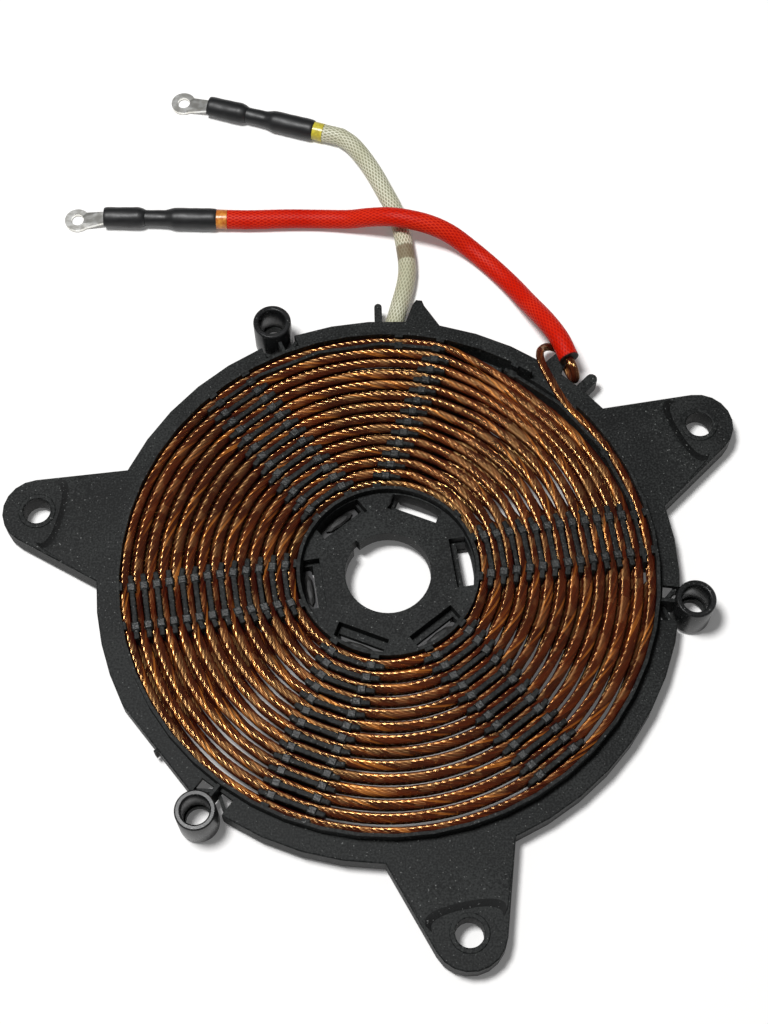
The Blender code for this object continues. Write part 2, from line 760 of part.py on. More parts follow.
def turn_place(radius, spoke, across):
    """The point of a turn this far beside a spoke's centre line, and which way is outward there.

    A turn runs straight across a spoke for one step of its angle and bends half a step either side.
    """
    chord = radius * math.cos(math.radians(HALF_STEP))
    corner = radius * math.sin(math.radians(HALF_STEP))
    side = math.copysign(1, across)
    if abs(abs(across) - corner) < WELD_DISTANCE:
        return local(chord, across, spoke), spoke + side * HALF_STEP
    if abs(across) < corner:
        return local(chord, across, spoke), spoke
    return local(chord, across - 2 * side * corner, spoke + side * STEP), spoke + side * STEP


def raised(shape, faces, offset):
    """Extrudes these faces by the offset and gives back the moved ones."""
    edges = {edge for face in faces for edge in face.edges}
    verts = {vert for face in faces for vert in face.verts}
    made = bmesh.ops.extrude_face_region(shape, geom=[*faces, *edges, *verts])["geom"]
    verts = [item for item in made if isinstance(item, bmesh.types.BMVert)]
    bmesh.ops.translate(shape, vec=offset, verts=verts)
    moved = [item for item in made if isinstance(item, bmesh.types.BMFace)]
    for face in moved:
        face.normal_update()
        for edge in face.edges:
            for other in edge.link_faces:
                other.normal_update()
    return moved


def near_head(face, radius, spoke, head, side):
    """Whether an upright face lies at this clip head, on this side of its divider."""
    point, heading = turn_place(radius, spoke, head)
    offset = face.calc_center_median().to_2d() - point
    outward = offset.dot(polar(1.0, heading))
    along = offset.dot(polar(1.0, heading + 90))
    return side * outward > HALF_DIVIDER / 2 and abs(along) < HEAD_LENGTH / 2


def strip(line, half_width):
    """The outline of a strip of constant width along a bent line."""
    left = [point + polar(half_width, heading) for point, heading in line]
    right = [point - polar(half_width, heading) for point, heading in line]
    return right + left[::-1]


def divider_span(spoke):
    """How far a divider runs each side of a spoke, and where its clip heads are."""
    half = HEAD_LENGTH / 2
    if spoke != CROSSOVER_SPOKE:
        return -HEAD_OFFSET - half, HEAD_OFFSET + half, (-HEAD_OFFSET, HEAD_OFFSET)
    start = CROSSOVER_HEAD_OFFSET - CROSSOVER_REACH
    return start, CROSSOVER_HEAD_OFFSET + half, (CROSSOVER_HEAD_OFFSET,)


def divider(shape, radius, spoke, span):
    """Adds one divider to the shape: an upright bar, a crown above it, and clip heads beside the crown."""
    start, end, heads = span
    half = HEAD_LENGTH / 2
    corner = radius * math.sin(math.radians(HALF_STEP))
    marks = {start, end}
    for head in heads:
        marks |= {head - half, head + half}
    marks |= {bend for bend in (-corner, corner) if start < bend < end}
    feet = []
    for mark in sorted(marks):
        point, heading = turn_place(radius, spoke, mark)
        offset = polar(HALF_DIVIDER, heading)
        feet.append([shape.verts.new((*(point + side * offset), BAR_FOOT)) for side in (-1, 1)])
    floor = [
        shape.faces.new((first[0], first[1], second[1], second[0]))
        for first, second in zip(feet, feet[1:])
    ]
    tops = raised(shape, floor, UP * (HEAD_UNDERSIDE - BAR_FOOT))
    crown = raised(shape, tops, UP * HEAD_HEIGHT)
    for head in heads:
        for side in (-1, 1):
            flanks = [
                face
                for top in crown
                for edge in top.edges
                for face in edge.link_faces
                if abs(face.normal.z) < UPRIGHT_LIMIT and near_head(face, radius, spoke, head, side)
            ]
            point, heading = turn_place(radius, spoke, head)
            raised(shape, list(set(flanks)), polar(side * HEAD_OVERHANG, heading).to_3d())


def comb():
    """The dividers between the grooves at each spoke."""
    shape = bmesh.new()
    for spoke in SPOKE_ANGLES:
        for index in range(1, GROOVES):
            if index > 1 or spoke not in WALLED_SPOKES:
                divider(shape, divider_radius(index), spoke, divider_span(spoke))
    bmesh.ops.recalc_face_normals(shape, faces=shape.faces)
    mesh = bpy.data.meshes.new("comb")
    shape.to_mesh(mesh)
    shape.free()
    obj = bpy.data.objects.new("comb", mesh)
    bpy.context.scene.collection.objects.link(obj)
    return obj


def groove_wall():
    """The wall between the first two grooves, which runs on through the sectors beside the crossover."""
    outlines = []
    for first, last in INNER_WALL_STEPS:
        angles = [FIRST_ANGLE + STEP * index for index in range(first, last + 1)]
        radius = divider_radius(1)
        line = [(polar(radius, angle), angle) for angle in angles]
        outlines.append(strip(line, HALF_DIVIDER))
    return slab(outlines, TRAY_DEPTH + HUB_LIFT, WALL_TOP)


def bridges():
    """Short floors that tie the groove wall to the coil wall."""
    inner = divider_radius(1) * math.cos(math.radians(HALF_STEP))
    outlines = [
        box_outline(inner, COIL_WALL_RADIUS, BRIDGE_WIDTH / 2, degrees) for degrees in BRIDGE_ANGLES
    ]
    return slab(outlines, TRAY_DEPTH + HUB_LIFT * 2, WEB_TOP - HUB_LIFT)


def turn_radius(radius, degrees):
    """The distance from the axis to a turn that is drawn as chords of one step."""
    offset = (degrees - FIRST_ANGLE) % STEP - HALF_STEP
    return radius * math.cos(math.radians(HALF_STEP)) / math.cos(math.radians(offset))


def wall_heads():
    """Clip heads on the coil wall, on the groove wall and on the ring wall."""
    half = HEAD_LENGTH / 2
    reach = HEAD_WIDTH - HALF_DIVIDER
    outlines = []
    for degrees in OUTER_WALL_HEADS:
        outlines.append(box_outline(COIL_WALL_RADIUS - reach, COIL_WALL_RADIUS, half, degrees))
    for degrees in INNER_WALL_HEADS:
        middle = turn_radius(divider_radius(1), degrees)
        outlines.append(box_outline(middle - HEAD_WIDTH / 2, middle + HEAD_WIDTH / 2, half, degrees))
    for degrees in RING_WALL_HEADS:
        outlines.append(box_outline(RING_WALL_RADIUS, RING_WALL_RADIUS + reach, half, degrees))
    return slab(outlines, HEAD_UNDERSIDE + HEAD_SINK, WALL_TOP - HEAD_SINK)


def finger_outline(degrees, width):
    """A round-ended finger on the rim beside a lead."""
    half = width / 2
    start = RIM_RADIUS - SKIRT_THICKNESS / 2
    end = RIM_RADIUS + FINGER_REACH - half
    points = [local(start, half, degrees), local(start, -half, degrees)]
    for step in range(FINGER_STEPS + 1):
        angle = -math.pi / 2 + math.pi * step / FINGER_STEPS
        points.append(local(end + half * math.cos(angle), half * math.sin(angle), degrees))
    return points


def fingers():
    """The fingers on the rim that keep the two leads in place."""
    outlines = [
        finger_outline(WHITE_FINGER_ANGLE, WHITE_FINGER_WIDTH),
        finger_outline(RED_FINGER_ANGLE, RED_FINGER_WIDTH),
    ]
    return slab(outlines, SKIRT_CLEARANCE + RIB_EMBED, PLATE_BOTTOM + RIB_EMBED)


def route(shares, heights):
    """The points of a lead's route, which keep their place by the rim."""
    return [
        Vector((x * RIM_RADIUS, y * RIM_RADIUS, height)) for (x, y), height in zip(shares, heights)
    ]


def sector(inner, outer, angles):
    """The outline of a ring sector."""
    start, end = angles
    return arc(outer, start, end, 4) + arc(inner, end, start, 4)


def exits():
    """What is cut away for the two wire ends, for the lower lead and under the upper lead's tab."""
    inner = COIL_WALL_RADIUS - GROOVE_PITCH / 2
    outer = COIL_WALL_RADIUS + HALF_DIVIDER + HUB_LIFT
    lintel = PLATE_BOTTOM + LOWER_EXIT_NOTCH
    low = slab([sector(inner, outer, LOWER_EXIT_ANGLES)], TRAY_DEPTH / 2, lintel)
    high = slab([sector(inner, outer, UPPER_EXIT_ANGLES)], PLATE_TOP, WALL_TOP + BORE_MARGIN)
    start, second = [place.to_2d() for place in route(WHITE_ROUTE_SHARES, WHITE_ROUTE_HEIGHTS)[:2]]
    run = (second - start).normalized()
    ahead = run * (RIM_RADIUS - start.y + SKIRT_THICKNESS)
    side = Vector((-run.y, run.x)) * (WHITE_SLEEVE_DIAMETER / 2 + SKIRT_GATE_MARGIN)
    gate = [start - side, start + ahead - side, start + ahead + side, start + side]
    tab_end = RIM_RADIUS + TAB_REACH + SKIRT_THICKNESS
    tab = box_outline(RIM_RADIUS + SKIRT_THICKNESS, tab_end, RED_TAB_WIDTH, RED_TAB_ANGLE)
    under_tab = slab([tab], -BORE_MARGIN, PLATE_BOTTOM + HUB_LIFT)
    return [low, high, slab([gate], -BORE_MARGIN, PLATE_BOTTOM - HUB_LIFT), under_tab]


def former():
    """The one-piece moulded former."""
    body = rim()
    body = cut(body, boss_bays())
    body = add(body, stiffeners())
    for tool in bosses() + boss_ribs():
        body = add(body, tool)
    body = cut(body, ear_holes())
    for tool in ear_sockets():
        body = add(body, tool)
    body = cut(body, ear_grooves())
    body = add(body, coil_wall())
    body = add(body, fingers())
    frame = add(add(spokes(), hub()), crossover_shelf())
    for tool in (trays(), hub_windows(), hub_slots(), hub_pockets(), hub_key()):
        frame = cut(frame, tool)
    body = add(body, frame)
    for tool in (groove_wall(), bridges()):
        body = add(body, tool)
    for tool in (comb(), wall_heads()):
        body = combine(body, tool, "UNION", "MANIFOLD")
    for tool in exits():
        body = combine(body, tool, "DIFFERENCE", "MANIFOLD")
    return tidied(body)


def smooth_route(knots, spacing):
    """Points at about this spacing on a smooth curve through the knots, ends included."""
    ends = [knots[0] * 2 - knots[1]] + knots + [knots[-1] * 2 - knots[-2]]
    fine = []
    for before, start, end, after in zip(ends, ends[1:], ends[2:], ends[3:]):
        for step in range(FINE_STEPS):
            t = step / FINE_STEPS
            fine.append(
                (
                    start * 2
                    + (end - before) * t
                    + (before * 2 - start * 5 + end * 4 - after) * t**2
                    + (start * 3 - before - end * 3 + after) * t**3
                )
                / 2
            )
    fine.append(knots[-1])
    lengths = [0.0]
    for first, second in zip(fine, fine[1:]):
        lengths.append(lengths[-1] + (second - first).length)
    count = max(2, round(lengths[-1] / spacing))
    wanted = np.linspace(0, lengths[-1], count + 1)
    columns = [np.interp(wanted, lengths, [point[axis] for point in fine]) for axis in range(3)]
    return [Vector(place) for place in zip(*columns)], lengths[-1]


def tube(name, points, radius, sides, radii=None):
    """A round tube along the points, closed at both ends."""
    curve = bpy.data.curves.new(name, "CURVE")
    curve.dimensions = "3D"
    curve.bevel_depth = radius
    curve.bevel_resolution = sides
    curve.use_fill_caps = True
    spline = curve.splines.new("POLY")
    spline.points.add(len(points) - 1)
    for index, (point, place) in enumerate(zip(spline.points, points)):
        point.co = (*place, 1.0)
        if radii:
            point.radius = radii[index]
    obj = bpy.data.objects.new(name, curve)
    bpy.context.scene.collection.objects.link(obj)
    bpy.context.view_layer.update()
    return baked(obj, name)


def turn_point(groove, step, height):
    """The corner of a turn: a groove, which may lie between two, and a step of the angle."""
    place = polar(groove_radius(groove), FIRST_ANGLE + STEP * step)
    return Vector((place.x, place.y, height))


def lower_end():
    """The start of the winding, from the white lead's mouth up into the outermost groove."""
    mouth, ahead = route(WHITE_ROUTE_SHARES, WHITE_ROUTE_HEIGHTS)[:2]
    along = (ahead - mouth).normalized()
    along.z = 0.0
    first = mouth - along * GAP
    straight = first - along * WIRE_DIAMETER
    groove = groove_radius(0)
    rise = LOWER_LAYER - mouth.z
    points = [first, straight]
    for degrees, outside, share in LOWER_END_SHARES:
        place = polar(groove + outside * GROOVE_PITCH, degrees)
        points.append(Vector((place.x, place.y, mouth.z + rise * share)))
    return points


def upper_end():
    """The end of the winding: over the rim, down round the tab and up into the red lead's mouth."""
    mouth, ahead = route(RED_ROUTE_SHARES, RED_ROUTE_HEIGHTS)[:2]
    along = (ahead - mouth).normalized()
    along.z = 0.0
    over = PLATE_TOP + GAP + WIRE_RADIUS
    under = PLATE_BOTTOM - GAP - WIRE_RADIUS
    points = []
    for width_share, degrees, height_share in UPPER_END_SHARES:
        place = polar(COIL_WALL_RADIUS + RIM_WIDTH * width_share, degrees)
        points.append(Vector((place.x, place.y, under + (over - under) * height_share)))
    last = mouth - along * GAP
    bend = last - along * WIRE_RADIUS * MOUTH_RUN_SHARE
    radius = (mouth.z - under) / 2
    turn = []
    for step in range(BEND_STEPS, -1, -1):
        angle = math.pi * step / BEND_STEPS
        turn.append(bend - along * radius * math.sin(angle) - UP * radius * (1 - math.cos(angle)))
    return points + turn + [last]


def winding_points():
    """The whole winding: in through the lower layer, out again through the upper one."""
    whole = SHIFT_STEP + TURN_STEPS
    points = lower_end()
    for loop in range(LOWER_LOOPS):
        first = START_STEP if loop == 0 else SHIFT_STEP + 1
        last = whole if loop < LOWER_LOOPS - 1 else whole - CROSSING_STEPS
        for step in range(first, last + 1):
            points.append(turn_point(loop, step, LOWER_LAYER))
    innermost = GROOVES - 1
    jump = innermost - (LOWER_LOOPS - 1)
    for share, step in zip(CROSSING_SHARES, (SHIFT_STEP - 1, SHIFT_STEP)):
        points.append(turn_point(LOWER_LOOPS - 1 + jump * share, step, LOWER_LAYER))
    for loop in range(GROOVES):
        groove = innermost - loop
        last = whole if groove else whole - CROSSING_STEPS
        for step in range(SHIFT_STEP + 1, last + 1):
            climb = min(1.0, (step - SHIFT_STEP - 1) / CLIMB_STEPS) if loop == 0 else 1.0
            height = LOWER_LAYER + LAYER_PITCH * climb
            points.append(turn_point(groove, step, height))
    return points + upper_end()


def least_gap(points, diameter):
    """The least gap between stretches of a tube that are more than four diameters apart along it."""
    samples = []
    travelled = []
    run = 0.0
    for first, second in zip(points, points[1:]):
        length = (second - first).length
        count = max(1, math.ceil(length / (diameter / 2)))
        for step in range(count):
            samples.append(first.lerp(second, step / count))
            travelled.append(run + length * step / count)
        run += length
    places = np.array(samples)
    along = np.array(travelled)
    least = math.inf
    for index in range(0, len(places), SAMPLE_BLOCK):
        block = slice(index, index + SAMPLE_BLOCK)
        distance = np.linalg.norm(places[block, None] - places[None], axis=2)
        near = np.abs(along[block, None] - along[None]) < NEAR_DIAMETERS * diameter
        distance[near] = math.inf
        least = min(least, float(distance.min()))
    return least - diameter, run


def winding():
    """The litz winding as one unbroken tube."""
    points = winding_points()
    gap, length = least_gap(points, WIRE_DIAMETER)
    print(f"winding: {len(points)} points, {length:.3f} m of wire, least gap to itself {gap * 1000:.2f} mm")
    return tube("litz_winding", points, WIRE_RADIUS, 1)


def ferrite_bar(number, degrees):
    """A ferrite bar in its tray, just under the web."""
    inner = FERRITE_SHORT_END if degrees in SHORT_END_SPOKES else FERRITE_INNER_END
    outer = inner + FERRITE_LENGTH
    half = FERRITE_WIDTH / 2
    nip = FERRITE_CHAMFER
    outline = [
        local(inner + nip, -half, degrees),
        local(outer - nip, -half, degrees),
        local(outer, -half + nip, degrees),
        local(outer, half - nip, degrees),
        local(outer - nip, half, degrees),
        local(inner + nip, half, degrees),
        local(inner, half - nip, degrees),
        local(inner, -half + nip, degrees),
    ]
    top = TRAY_DEPTH - GAP
    return slab([outline], top - FERRITE_THICKNESS, top, f"ferrite_bar_{number}")


def resin_dab(number, degrees):
    """A dab of set resin on the end of a ferrite bar."""
    shape = bmesh.new()
    bmesh.ops.create_uvsphere(shape, u_segments=DAB_SEGMENTS, v_segments=DAB_RINGS, radius=1.0)
    mesh = bpy.data.meshes.new("resin")
    shape.to_mesh(mesh)
    shape.free()
    obj = bpy.data.objects.new("resin", mesh)
    middle = SLOT_START + RESIN_LENGTH / 2 + GAP * 2
    height = RESIN_HEIGHT / 2
    base = TRAY_DEPTH
    length = RESIN_LENGTH
    if degrees in SHORT_END_SPOKES:
        outer = FERRITE_SHORT_END + FERRITE_LENGTH + GAP
        length = COIL_WALL_RADIUS - TRAY_END_WALL - GAP - outer
        middle = outer + length / 2
        base = TRAY_DEPTH - GAP - RESIN_HEIGHT
    place = polar(middle, degrees)
    obj.scale = (length / 2, RESIN_WIDTH / 2, height)
    obj.rotation_euler.z = math.radians(degrees)
    obj.location = (place.x, place.y, base + height)
    bpy.context.scene.collection.objects.link(obj)
    bpy.context.view_layer.update()
    return baked(obj, f"ferrite_resin_{number}")


def straight_run(start, heading, stations):
    """Points at distances along a level line, with the radius at each."""
    direction = polar(1.0, heading).to_3d()
    return [start + direction * distance for distance, _ in stations], [r for _, r in stations]


def lead(colour, knots, diameter, heading):
    """A sleeved lead with its end tape, two lengths of shrink tube and a ring terminal."""
    points, length = smooth_route(knots, CORD_POINT_SPACING * diameter)
    direction = polar(1.0, heading).to_3d()
    points.append(points[-1] + direction * diameter)
    print(f"{colour} lead: sleeve {length + diameter:.4f} m on {len(points)} points")
    sleeve = tube(f"{colour}_lead_sleeve", points, diameter / 2, CORD_BEVEL)
    sleeve_end = points[-1]
    tape_start = sleeve_end + direction * GAP
    tape_end = tape_start + direction * TAPE_LENGTH
    tape = tube(f"{colour}_lead_tape", [tape_start, tape_end], diameter / 2, CORD_BEVEL)
    thick = SHRINK_DIAMETER / 2
    neck = NECK_DIAMETER / 2
    shrink_start = tape_end + direction * GAP
    stations = [
        (0.0, thick),
        (SHRINK_LENGTH, thick),
        (SHRINK_LENGTH + SHRINK_TAPER, neck),
        (SHRINK_LENGTH + SHRINK_TAPER + NECK_LENGTH, neck),
    ]
    places, radii = straight_run(shrink_start, heading, stations)
    shrink = tube(f"{colour}_lead_shrink", places, 1.0, CORD_BEVEL, radii)
    crimp_start = places[-1] + direction * GAP
    crimp = CRIMP_SHRINK_DIAMETER / 2
    stations = [
        (0.0, crimp - CRIMP_LIP_DEPTH),
        (CRIMP_LIP_LENGTH, crimp),
        (CRIMP_SHRINK_LENGTH, crimp),
    ]
    places, radii = straight_run(crimp_start, heading, stations)
    barrel = tube(f"{colour}_lead_crimp_shrink", places, 1.0, CORD_BEVEL, radii)
    terminal = ring_terminal(f"{colour}_lead_ring_terminal", places[-1] + direction * GAP, heading)
    return {
        sleeve: f"{colour}_sleeving",
        tape: "tape",
        shrink: "shrink",
        barrel: "shrink",
        terminal: "tin",
    }


def ring_terminal(name, start, heading):
    """A crimp ring terminal: a stub of its barrel, a tongue and a flat ring with its hole."""
    along = polar(1.0, heading)
    side = polar(1.0, heading + 90)
    stub_end = start.to_2d() + along * CRIMP_STUB
    middle = stub_end + along * (TERMINAL_SPAN + TERMINAL_OUTSIDE / 2 - CRIMP_STUB)
    radius = TERMINAL_OUTSIDE / 2
    half = TERMINAL_NECK_WIDTH / 2
    spread = math.degrees(math.asin(half / radius))
    outline = [start.to_2d() + side * half, start.to_2d() - side * half]
    first = heading + 180 + spread
    for step in range(RING_STEPS + 1):
        angle = first + (360 - 2 * spread) * step / RING_STEPS
        outline.append(middle + polar(radius, angle))
    hole = circle(TERMINAL_HOLE / 2, RING_STEPS, middle)
    plate = slab([outline, hole], TERMINAL_RISE, TERMINAL_RISE + TERMINAL_THICKNESS, name)
    height = CRIMP_DIAMETER / 2
    level = TERMINAL_THICKNESS + height
    stub = [Vector((start.x, start.y, level)), Vector((stub_end.x, stub_end.y, level))]
    return add(plate, tube("stub", stub, height, CORD_BEVEL))


def finish_pieces(pieces):
    """Gives each piece its material and shading and puts it in the coil's collection."""
    holder = bpy.data.collections.new("induction_coil")
    bpy.context.scene.collection.children.link(holder)
    bpy.context.view_layer.update()
    former_piece = next(piece for piece in pieces if piece.name == "coil_former")
    corners = np.array([former_piece.matrix_world @ vert.co for vert in former_piece.data.vertices])
    middle = (corners.min(axis=0) + corners.max(axis=0)) / 2
    root = bpy.data.objects.new("coil_origin", None)
    root.location = (-middle[0], -middle[1], 0.0)
    holder.objects.link(root)
    for piece, finish in pieces.items():
        piece.data.materials.clear()
        piece.data.materials.append(material(finish))
        piece.data.shade_smooth()
        piece.data.set_sharp_from_angle(angle=math.radians(SHARP_ANGLE))
        piece.parent = root
        for collection in list(piece.users_collection):
            collection.objects.unlink(piece)
        holder.objects.link(piece)
    print(f"coil axis at x {root.location.x:.5f}, y {root.location.y:.5f}")


def main():
    """Builds every piece of the coil."""
    clear_scene()
    pieces = {former(): "former", winding(): "litz"}
    for number, degrees in enumerate(SPOKE_ANGLES, start=1):
        pieces[ferrite_bar(number, degrees)] = "ferrite"
        pieces[resin_dab(number, degrees)] = "resin"
    red = route(RED_ROUTE_SHARES, RED_ROUTE_HEIGHTS)
    white = route(WHITE_ROUTE_SHARES, WHITE_ROUTE_HEIGHTS)
    pieces.update(lead("red", red, RED_SLEEVE_DIAMETER, RED_END_HEADING))
    pieces.update(lead("white", white, WHITE_SLEEVE_DIAMETER, WHITE_END_HEADING))
    finish_pieces(pieces)


main()
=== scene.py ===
"""Visual model of a flat induction work coil: moulded former, litz winding, ferrites and two leads.

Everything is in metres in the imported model's frame. Places that are given from the coil's axis are moved
by AXIS, the point where that axis meets the surface that the coil stands on.
"""

from __future__ import annotations

import logging
import math
from dataclasses import dataclass
from enum import Enum
from typing import Iterable, Sequence

import bmesh
import bpy
import numpy as np
from bmesh.types import BMesh, BMVert
from bpy.types import Material, Node, NodeSocket, Object
from mathutils import Matrix, Vector

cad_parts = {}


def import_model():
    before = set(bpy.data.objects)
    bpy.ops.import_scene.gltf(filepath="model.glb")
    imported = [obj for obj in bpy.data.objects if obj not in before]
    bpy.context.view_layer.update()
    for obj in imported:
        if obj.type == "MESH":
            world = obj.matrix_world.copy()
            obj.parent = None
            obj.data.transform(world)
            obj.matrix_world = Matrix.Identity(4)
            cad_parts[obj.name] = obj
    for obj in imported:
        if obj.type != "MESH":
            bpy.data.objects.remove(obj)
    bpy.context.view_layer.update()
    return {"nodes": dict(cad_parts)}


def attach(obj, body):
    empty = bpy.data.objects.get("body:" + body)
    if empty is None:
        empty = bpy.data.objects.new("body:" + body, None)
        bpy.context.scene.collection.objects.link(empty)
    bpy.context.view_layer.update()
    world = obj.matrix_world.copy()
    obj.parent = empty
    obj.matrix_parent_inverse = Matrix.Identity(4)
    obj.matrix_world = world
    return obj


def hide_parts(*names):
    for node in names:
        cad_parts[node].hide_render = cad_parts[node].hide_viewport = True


LOG = logging.getLogger("coil")
Array = np.ndarray
Triple = tuple[float, float, float]
Pair = tuple[float, float]
Pairs = tuple[Pair, ...]

AXIS = Vector((0.005717, 0.012271, 0.0))
UP = Vector((0.0, 0.0, 1.0))
LEVEL = 0.99999

COIL_WALL_RADIUS = 0.0900
RIM_RADIUS = 0.0977
GROOVE_PITCH = 0.00427
GROOVES = 14
SPOKE_STEP = 60.0
SPOKE_ANGLES = (9.0, 69.0, 129.0, 189.0, 249.0, 309.0)
CROSSOVER_SPOKE = 69.0
DIVIDER_BEND = 7.5
WALL_TOP = 0.0150
PLATE_TOP = 0.0100
PLATE_BOTTOM = 0.0080

RED_ROUTE = (
    (0.0637, 0.0798, 0.0141), (0.0605, 0.0880, 0.0141), (0.0560, 0.0968, 0.0117),
    (0.0505, 0.1065, 0.0076), (0.0446, 0.1160, 0.0047), (0.0375, 0.1245, 0.0038),
    (0.0302, 0.1310, 0.0049), (0.0230, 0.1350, 0.0083), (0.0157, 0.1373, 0.0110),
    (0.0078, 0.1391, 0.0120), (0.0004, 0.1407, 0.0113), (-0.0070, 0.1423, 0.0085),
    (-0.0145, 0.1436, 0.0053), (-0.0250, 0.1447, 0.0038), (-0.0363, 0.1449, 0.0037),
    (-0.0474, 0.1446, 0.0037), (-0.0522, 0.1445, 0.0037),
)
WHITE_ROUTE = (
    (0.0010, 0.0945, 0.0040), (0.0026, 0.1010, 0.0038), (0.0044, 0.1081, 0.0036),
    (0.0060, 0.1144, 0.0035), (0.0070, 0.1207, 0.0035), (0.0070, 0.1263, 0.0035),
    (0.0064, 0.1314, 0.0035), (0.0056, 0.1366, 0.0035), (0.0044, 0.1423, 0.0035),
    (0.0020, 0.1498, 0.0035), (-0.0016, 0.1577, 0.0035), (-0.0055, 0.1658, 0.0035),
    (-0.0096, 0.1728, 0.0035), (-0.0136, 0.1782, 0.0035), (-0.0178, 0.1817, 0.0035),
)


class Slot(Enum):
    """Material slot names for the pieces made here; the script passes them along but never gives them to a
    piece.
    """

    FORMER = "former"
    LITZ = "litz"
    RED_SLEEVING = "red_sleeving"
    WHITE_SLEEVING = "white_sleeving"
    TAPE = "tape"
    SHRINK = "shrink"
    TIN = "tin"


def polar(radius: float, degrees: float, height: float = 0.0) -> Vector:
    """Returns the point this far from the coil's axis, at this angle from +X and this height."""
    angle = math.radians(degrees)
    return Vector((radius * math.cos(angle), radius * math.sin(angle), height))


def eased(value: Array, start: float, width: float) -> Array:
    """Returns an S curve that rises from 0 at start to 1 over this width."""
    share = np.clip((value - start) / width, 0.0, 1.0)
    return share * share * (3 - 2 * share)


def smoothed(values: Array, reach: int) -> Array:
    """Returns the values averaged with this many neighbours on each side."""
    kernel = np.hanning(2 * reach + 1)
    return np.convolve(np.pad(values, reach, mode="edge"), kernel / kernel.sum(), mode="valid")


def from_spoke(angle: Array) -> Array:
    """Returns how many degrees each angle is from the nearest spoke."""
    half = SPOKE_STEP / 2
    return np.abs((angle - SPOKE_ANGLES[0] + half) % SPOKE_STEP - half)


class Number:
    """A number socket of a shader tree, with the usual operators."""

    def __init__(self, graph: Graph, socket: NodeSocket) -> None:
        """Wraps an output socket of a graph."""
        self.graph = graph
        self.socket = socket

    def act(self, operation: str, *others: Number | float) -> Number:
        """Returns the result of a Math node with this number and the others as its inputs."""
        inputs = dict(enumerate((self, *others)))
        return self.graph.number("ShaderNodeMath", {"operation": operation}, inputs)

    def __add__(self, other: Number | float) -> Number:
        """Returns self + other."""
        return self.act("ADD", other)

    __radd__ = __add__

    def __sub__(self, other: Number | float) -> Number:
        """Returns self - other."""
        return self.act("SUBTRACT", other)

    def __rsub__(self, other: float) -> Number:
        """Returns other - self."""
        return self * -1.0 + other

    def __mul__(self, other: Number | float) -> Number:
        """Returns self * other."""
        return self.act("MULTIPLY", other)

    def span(self, low: float, high: float) -> Number:
        """Returns the number eased from 0 at low to 1 at high."""
        inputs = {"Value": self, "From Min": low, "From Max": high}
        return self.graph.number("ShaderNodeMapRange", {"interpolation_type": "SMOOTHSTEP"}, inputs)


class Graph:
    """One material's shader tree."""

    def __init__(self, name: str) -> None:
        """Starts a material with an empty tree.

        Args:
            name: The material's name.
        """
        self.material = bpy.data.materials.new(name)
        self.material.use_nodes = True
        self.tree = self.material.node_tree
        self.tree.nodes.clear()
        self.output = self.node("ShaderNodeOutputMaterial")

    def node(self, kind: str, settings: dict | None = None, inputs: dict | None = None) -> Node:
        """Adds a node.

        Args:
            kind: The node's type.
            settings: Its properties, which are set first.
            inputs: Values, colours of three numbers or links, by socket name or index.

        Returns:
            The node.
        """
        made = self.tree.nodes.new(kind)
        for key, value in (settings or {}).items():
            setattr(made, key, value)
        for key, value in (inputs or {}).items():
            socket = made.inputs[key]
            value = value.socket if isinstance(value, Number) else value
            if isinstance(value, NodeSocket):
                self.tree.links.new(value, socket)
            else:
                socket.default_value = (*value, 1.0) if socket.type == "RGBA" else value
        return made

    def number(self, kind: str, settings: dict | None = None, inputs: dict | None = None) -> Number:
        """Adds a node and returns its first output as a number."""
        return Number(self, self.node(kind, settings, inputs).outputs[0])

    def surface(self) -> tuple[Number, Number]:
        """Returns the surface's own U and V."""
        uv = self.node("ShaderNodeUVMap", {"uv_map": "UVMap"}).outputs["UV"]
        split = self.node("ShaderNodeSeparateXYZ", None, {"Vector": uv})
        return Number(self, split.outputs["X"]), Number(self, split.outputs["Y"])

    def noise(self, scale: float, detail: float = 3.0, place: NodeSocket | None = None) -> Number:
        """Returns noise near 0.5, with this many cells to the metre of the object or of place."""
        place = place or self.node("ShaderNodeTexCoord").outputs["Object"]
        return self.number("ShaderNodeTexNoise", None, {"Vector": place, "Scale": scale, "Detail": detail})

    def blend(self, mask: Number, first: Triple | NodeSocket, second: Triple | NodeSocket) -> NodeSocket:
        """Returns a mix of two colours: the first where the mask is 0, the second where it is 1."""
        inputs = {"Factor": mask, 6: first, 7: second}
        return self.node("ShaderNodeMix", {"data_type": "RGBA"}, inputs).outputs[2]

    def bump(self, height: Number, distance: float, strength: float, **under: NodeSocket) -> NodeSocket:
        """Returns the normal of a height of 0 to 1 that stands for this distance in metres."""
        inputs = {"Height": height, "Distance": distance, "Strength": strength, **under}
        return self.node("ShaderNodeBump", None, inputs).outputs["Normal"]

    def soft_edges(self, radius: float) -> NodeSocket:
        """Returns a normal that rounds the edges by this radius."""
        return self.node("ShaderNodeBevel", {"samples": 6}, {"Radius": radius}).outputs["Normal"]

    def finish(
        self, colour: NodeSocket, rough: Number, normal: NodeSocket, others: dict | None = None
    ) -> Material:
        """Ends the tree in a Principled shader.

        Args:
            colour: Its base colour.
            rough: Its roughness.
            normal: Its normal.
            others: Its other inputs, by socket name.

        Returns:
            The material.
        """
        inputs = {"Base Color": colour, "Roughness": rough, "Normal": normal, **(others or {})}
        shader = self.node("ShaderNodeBsdfPrincipled", None, inputs)
        self.tree.links.new(shader.outputs["BSDF"], self.output.inputs["Surface"])
        return self.material


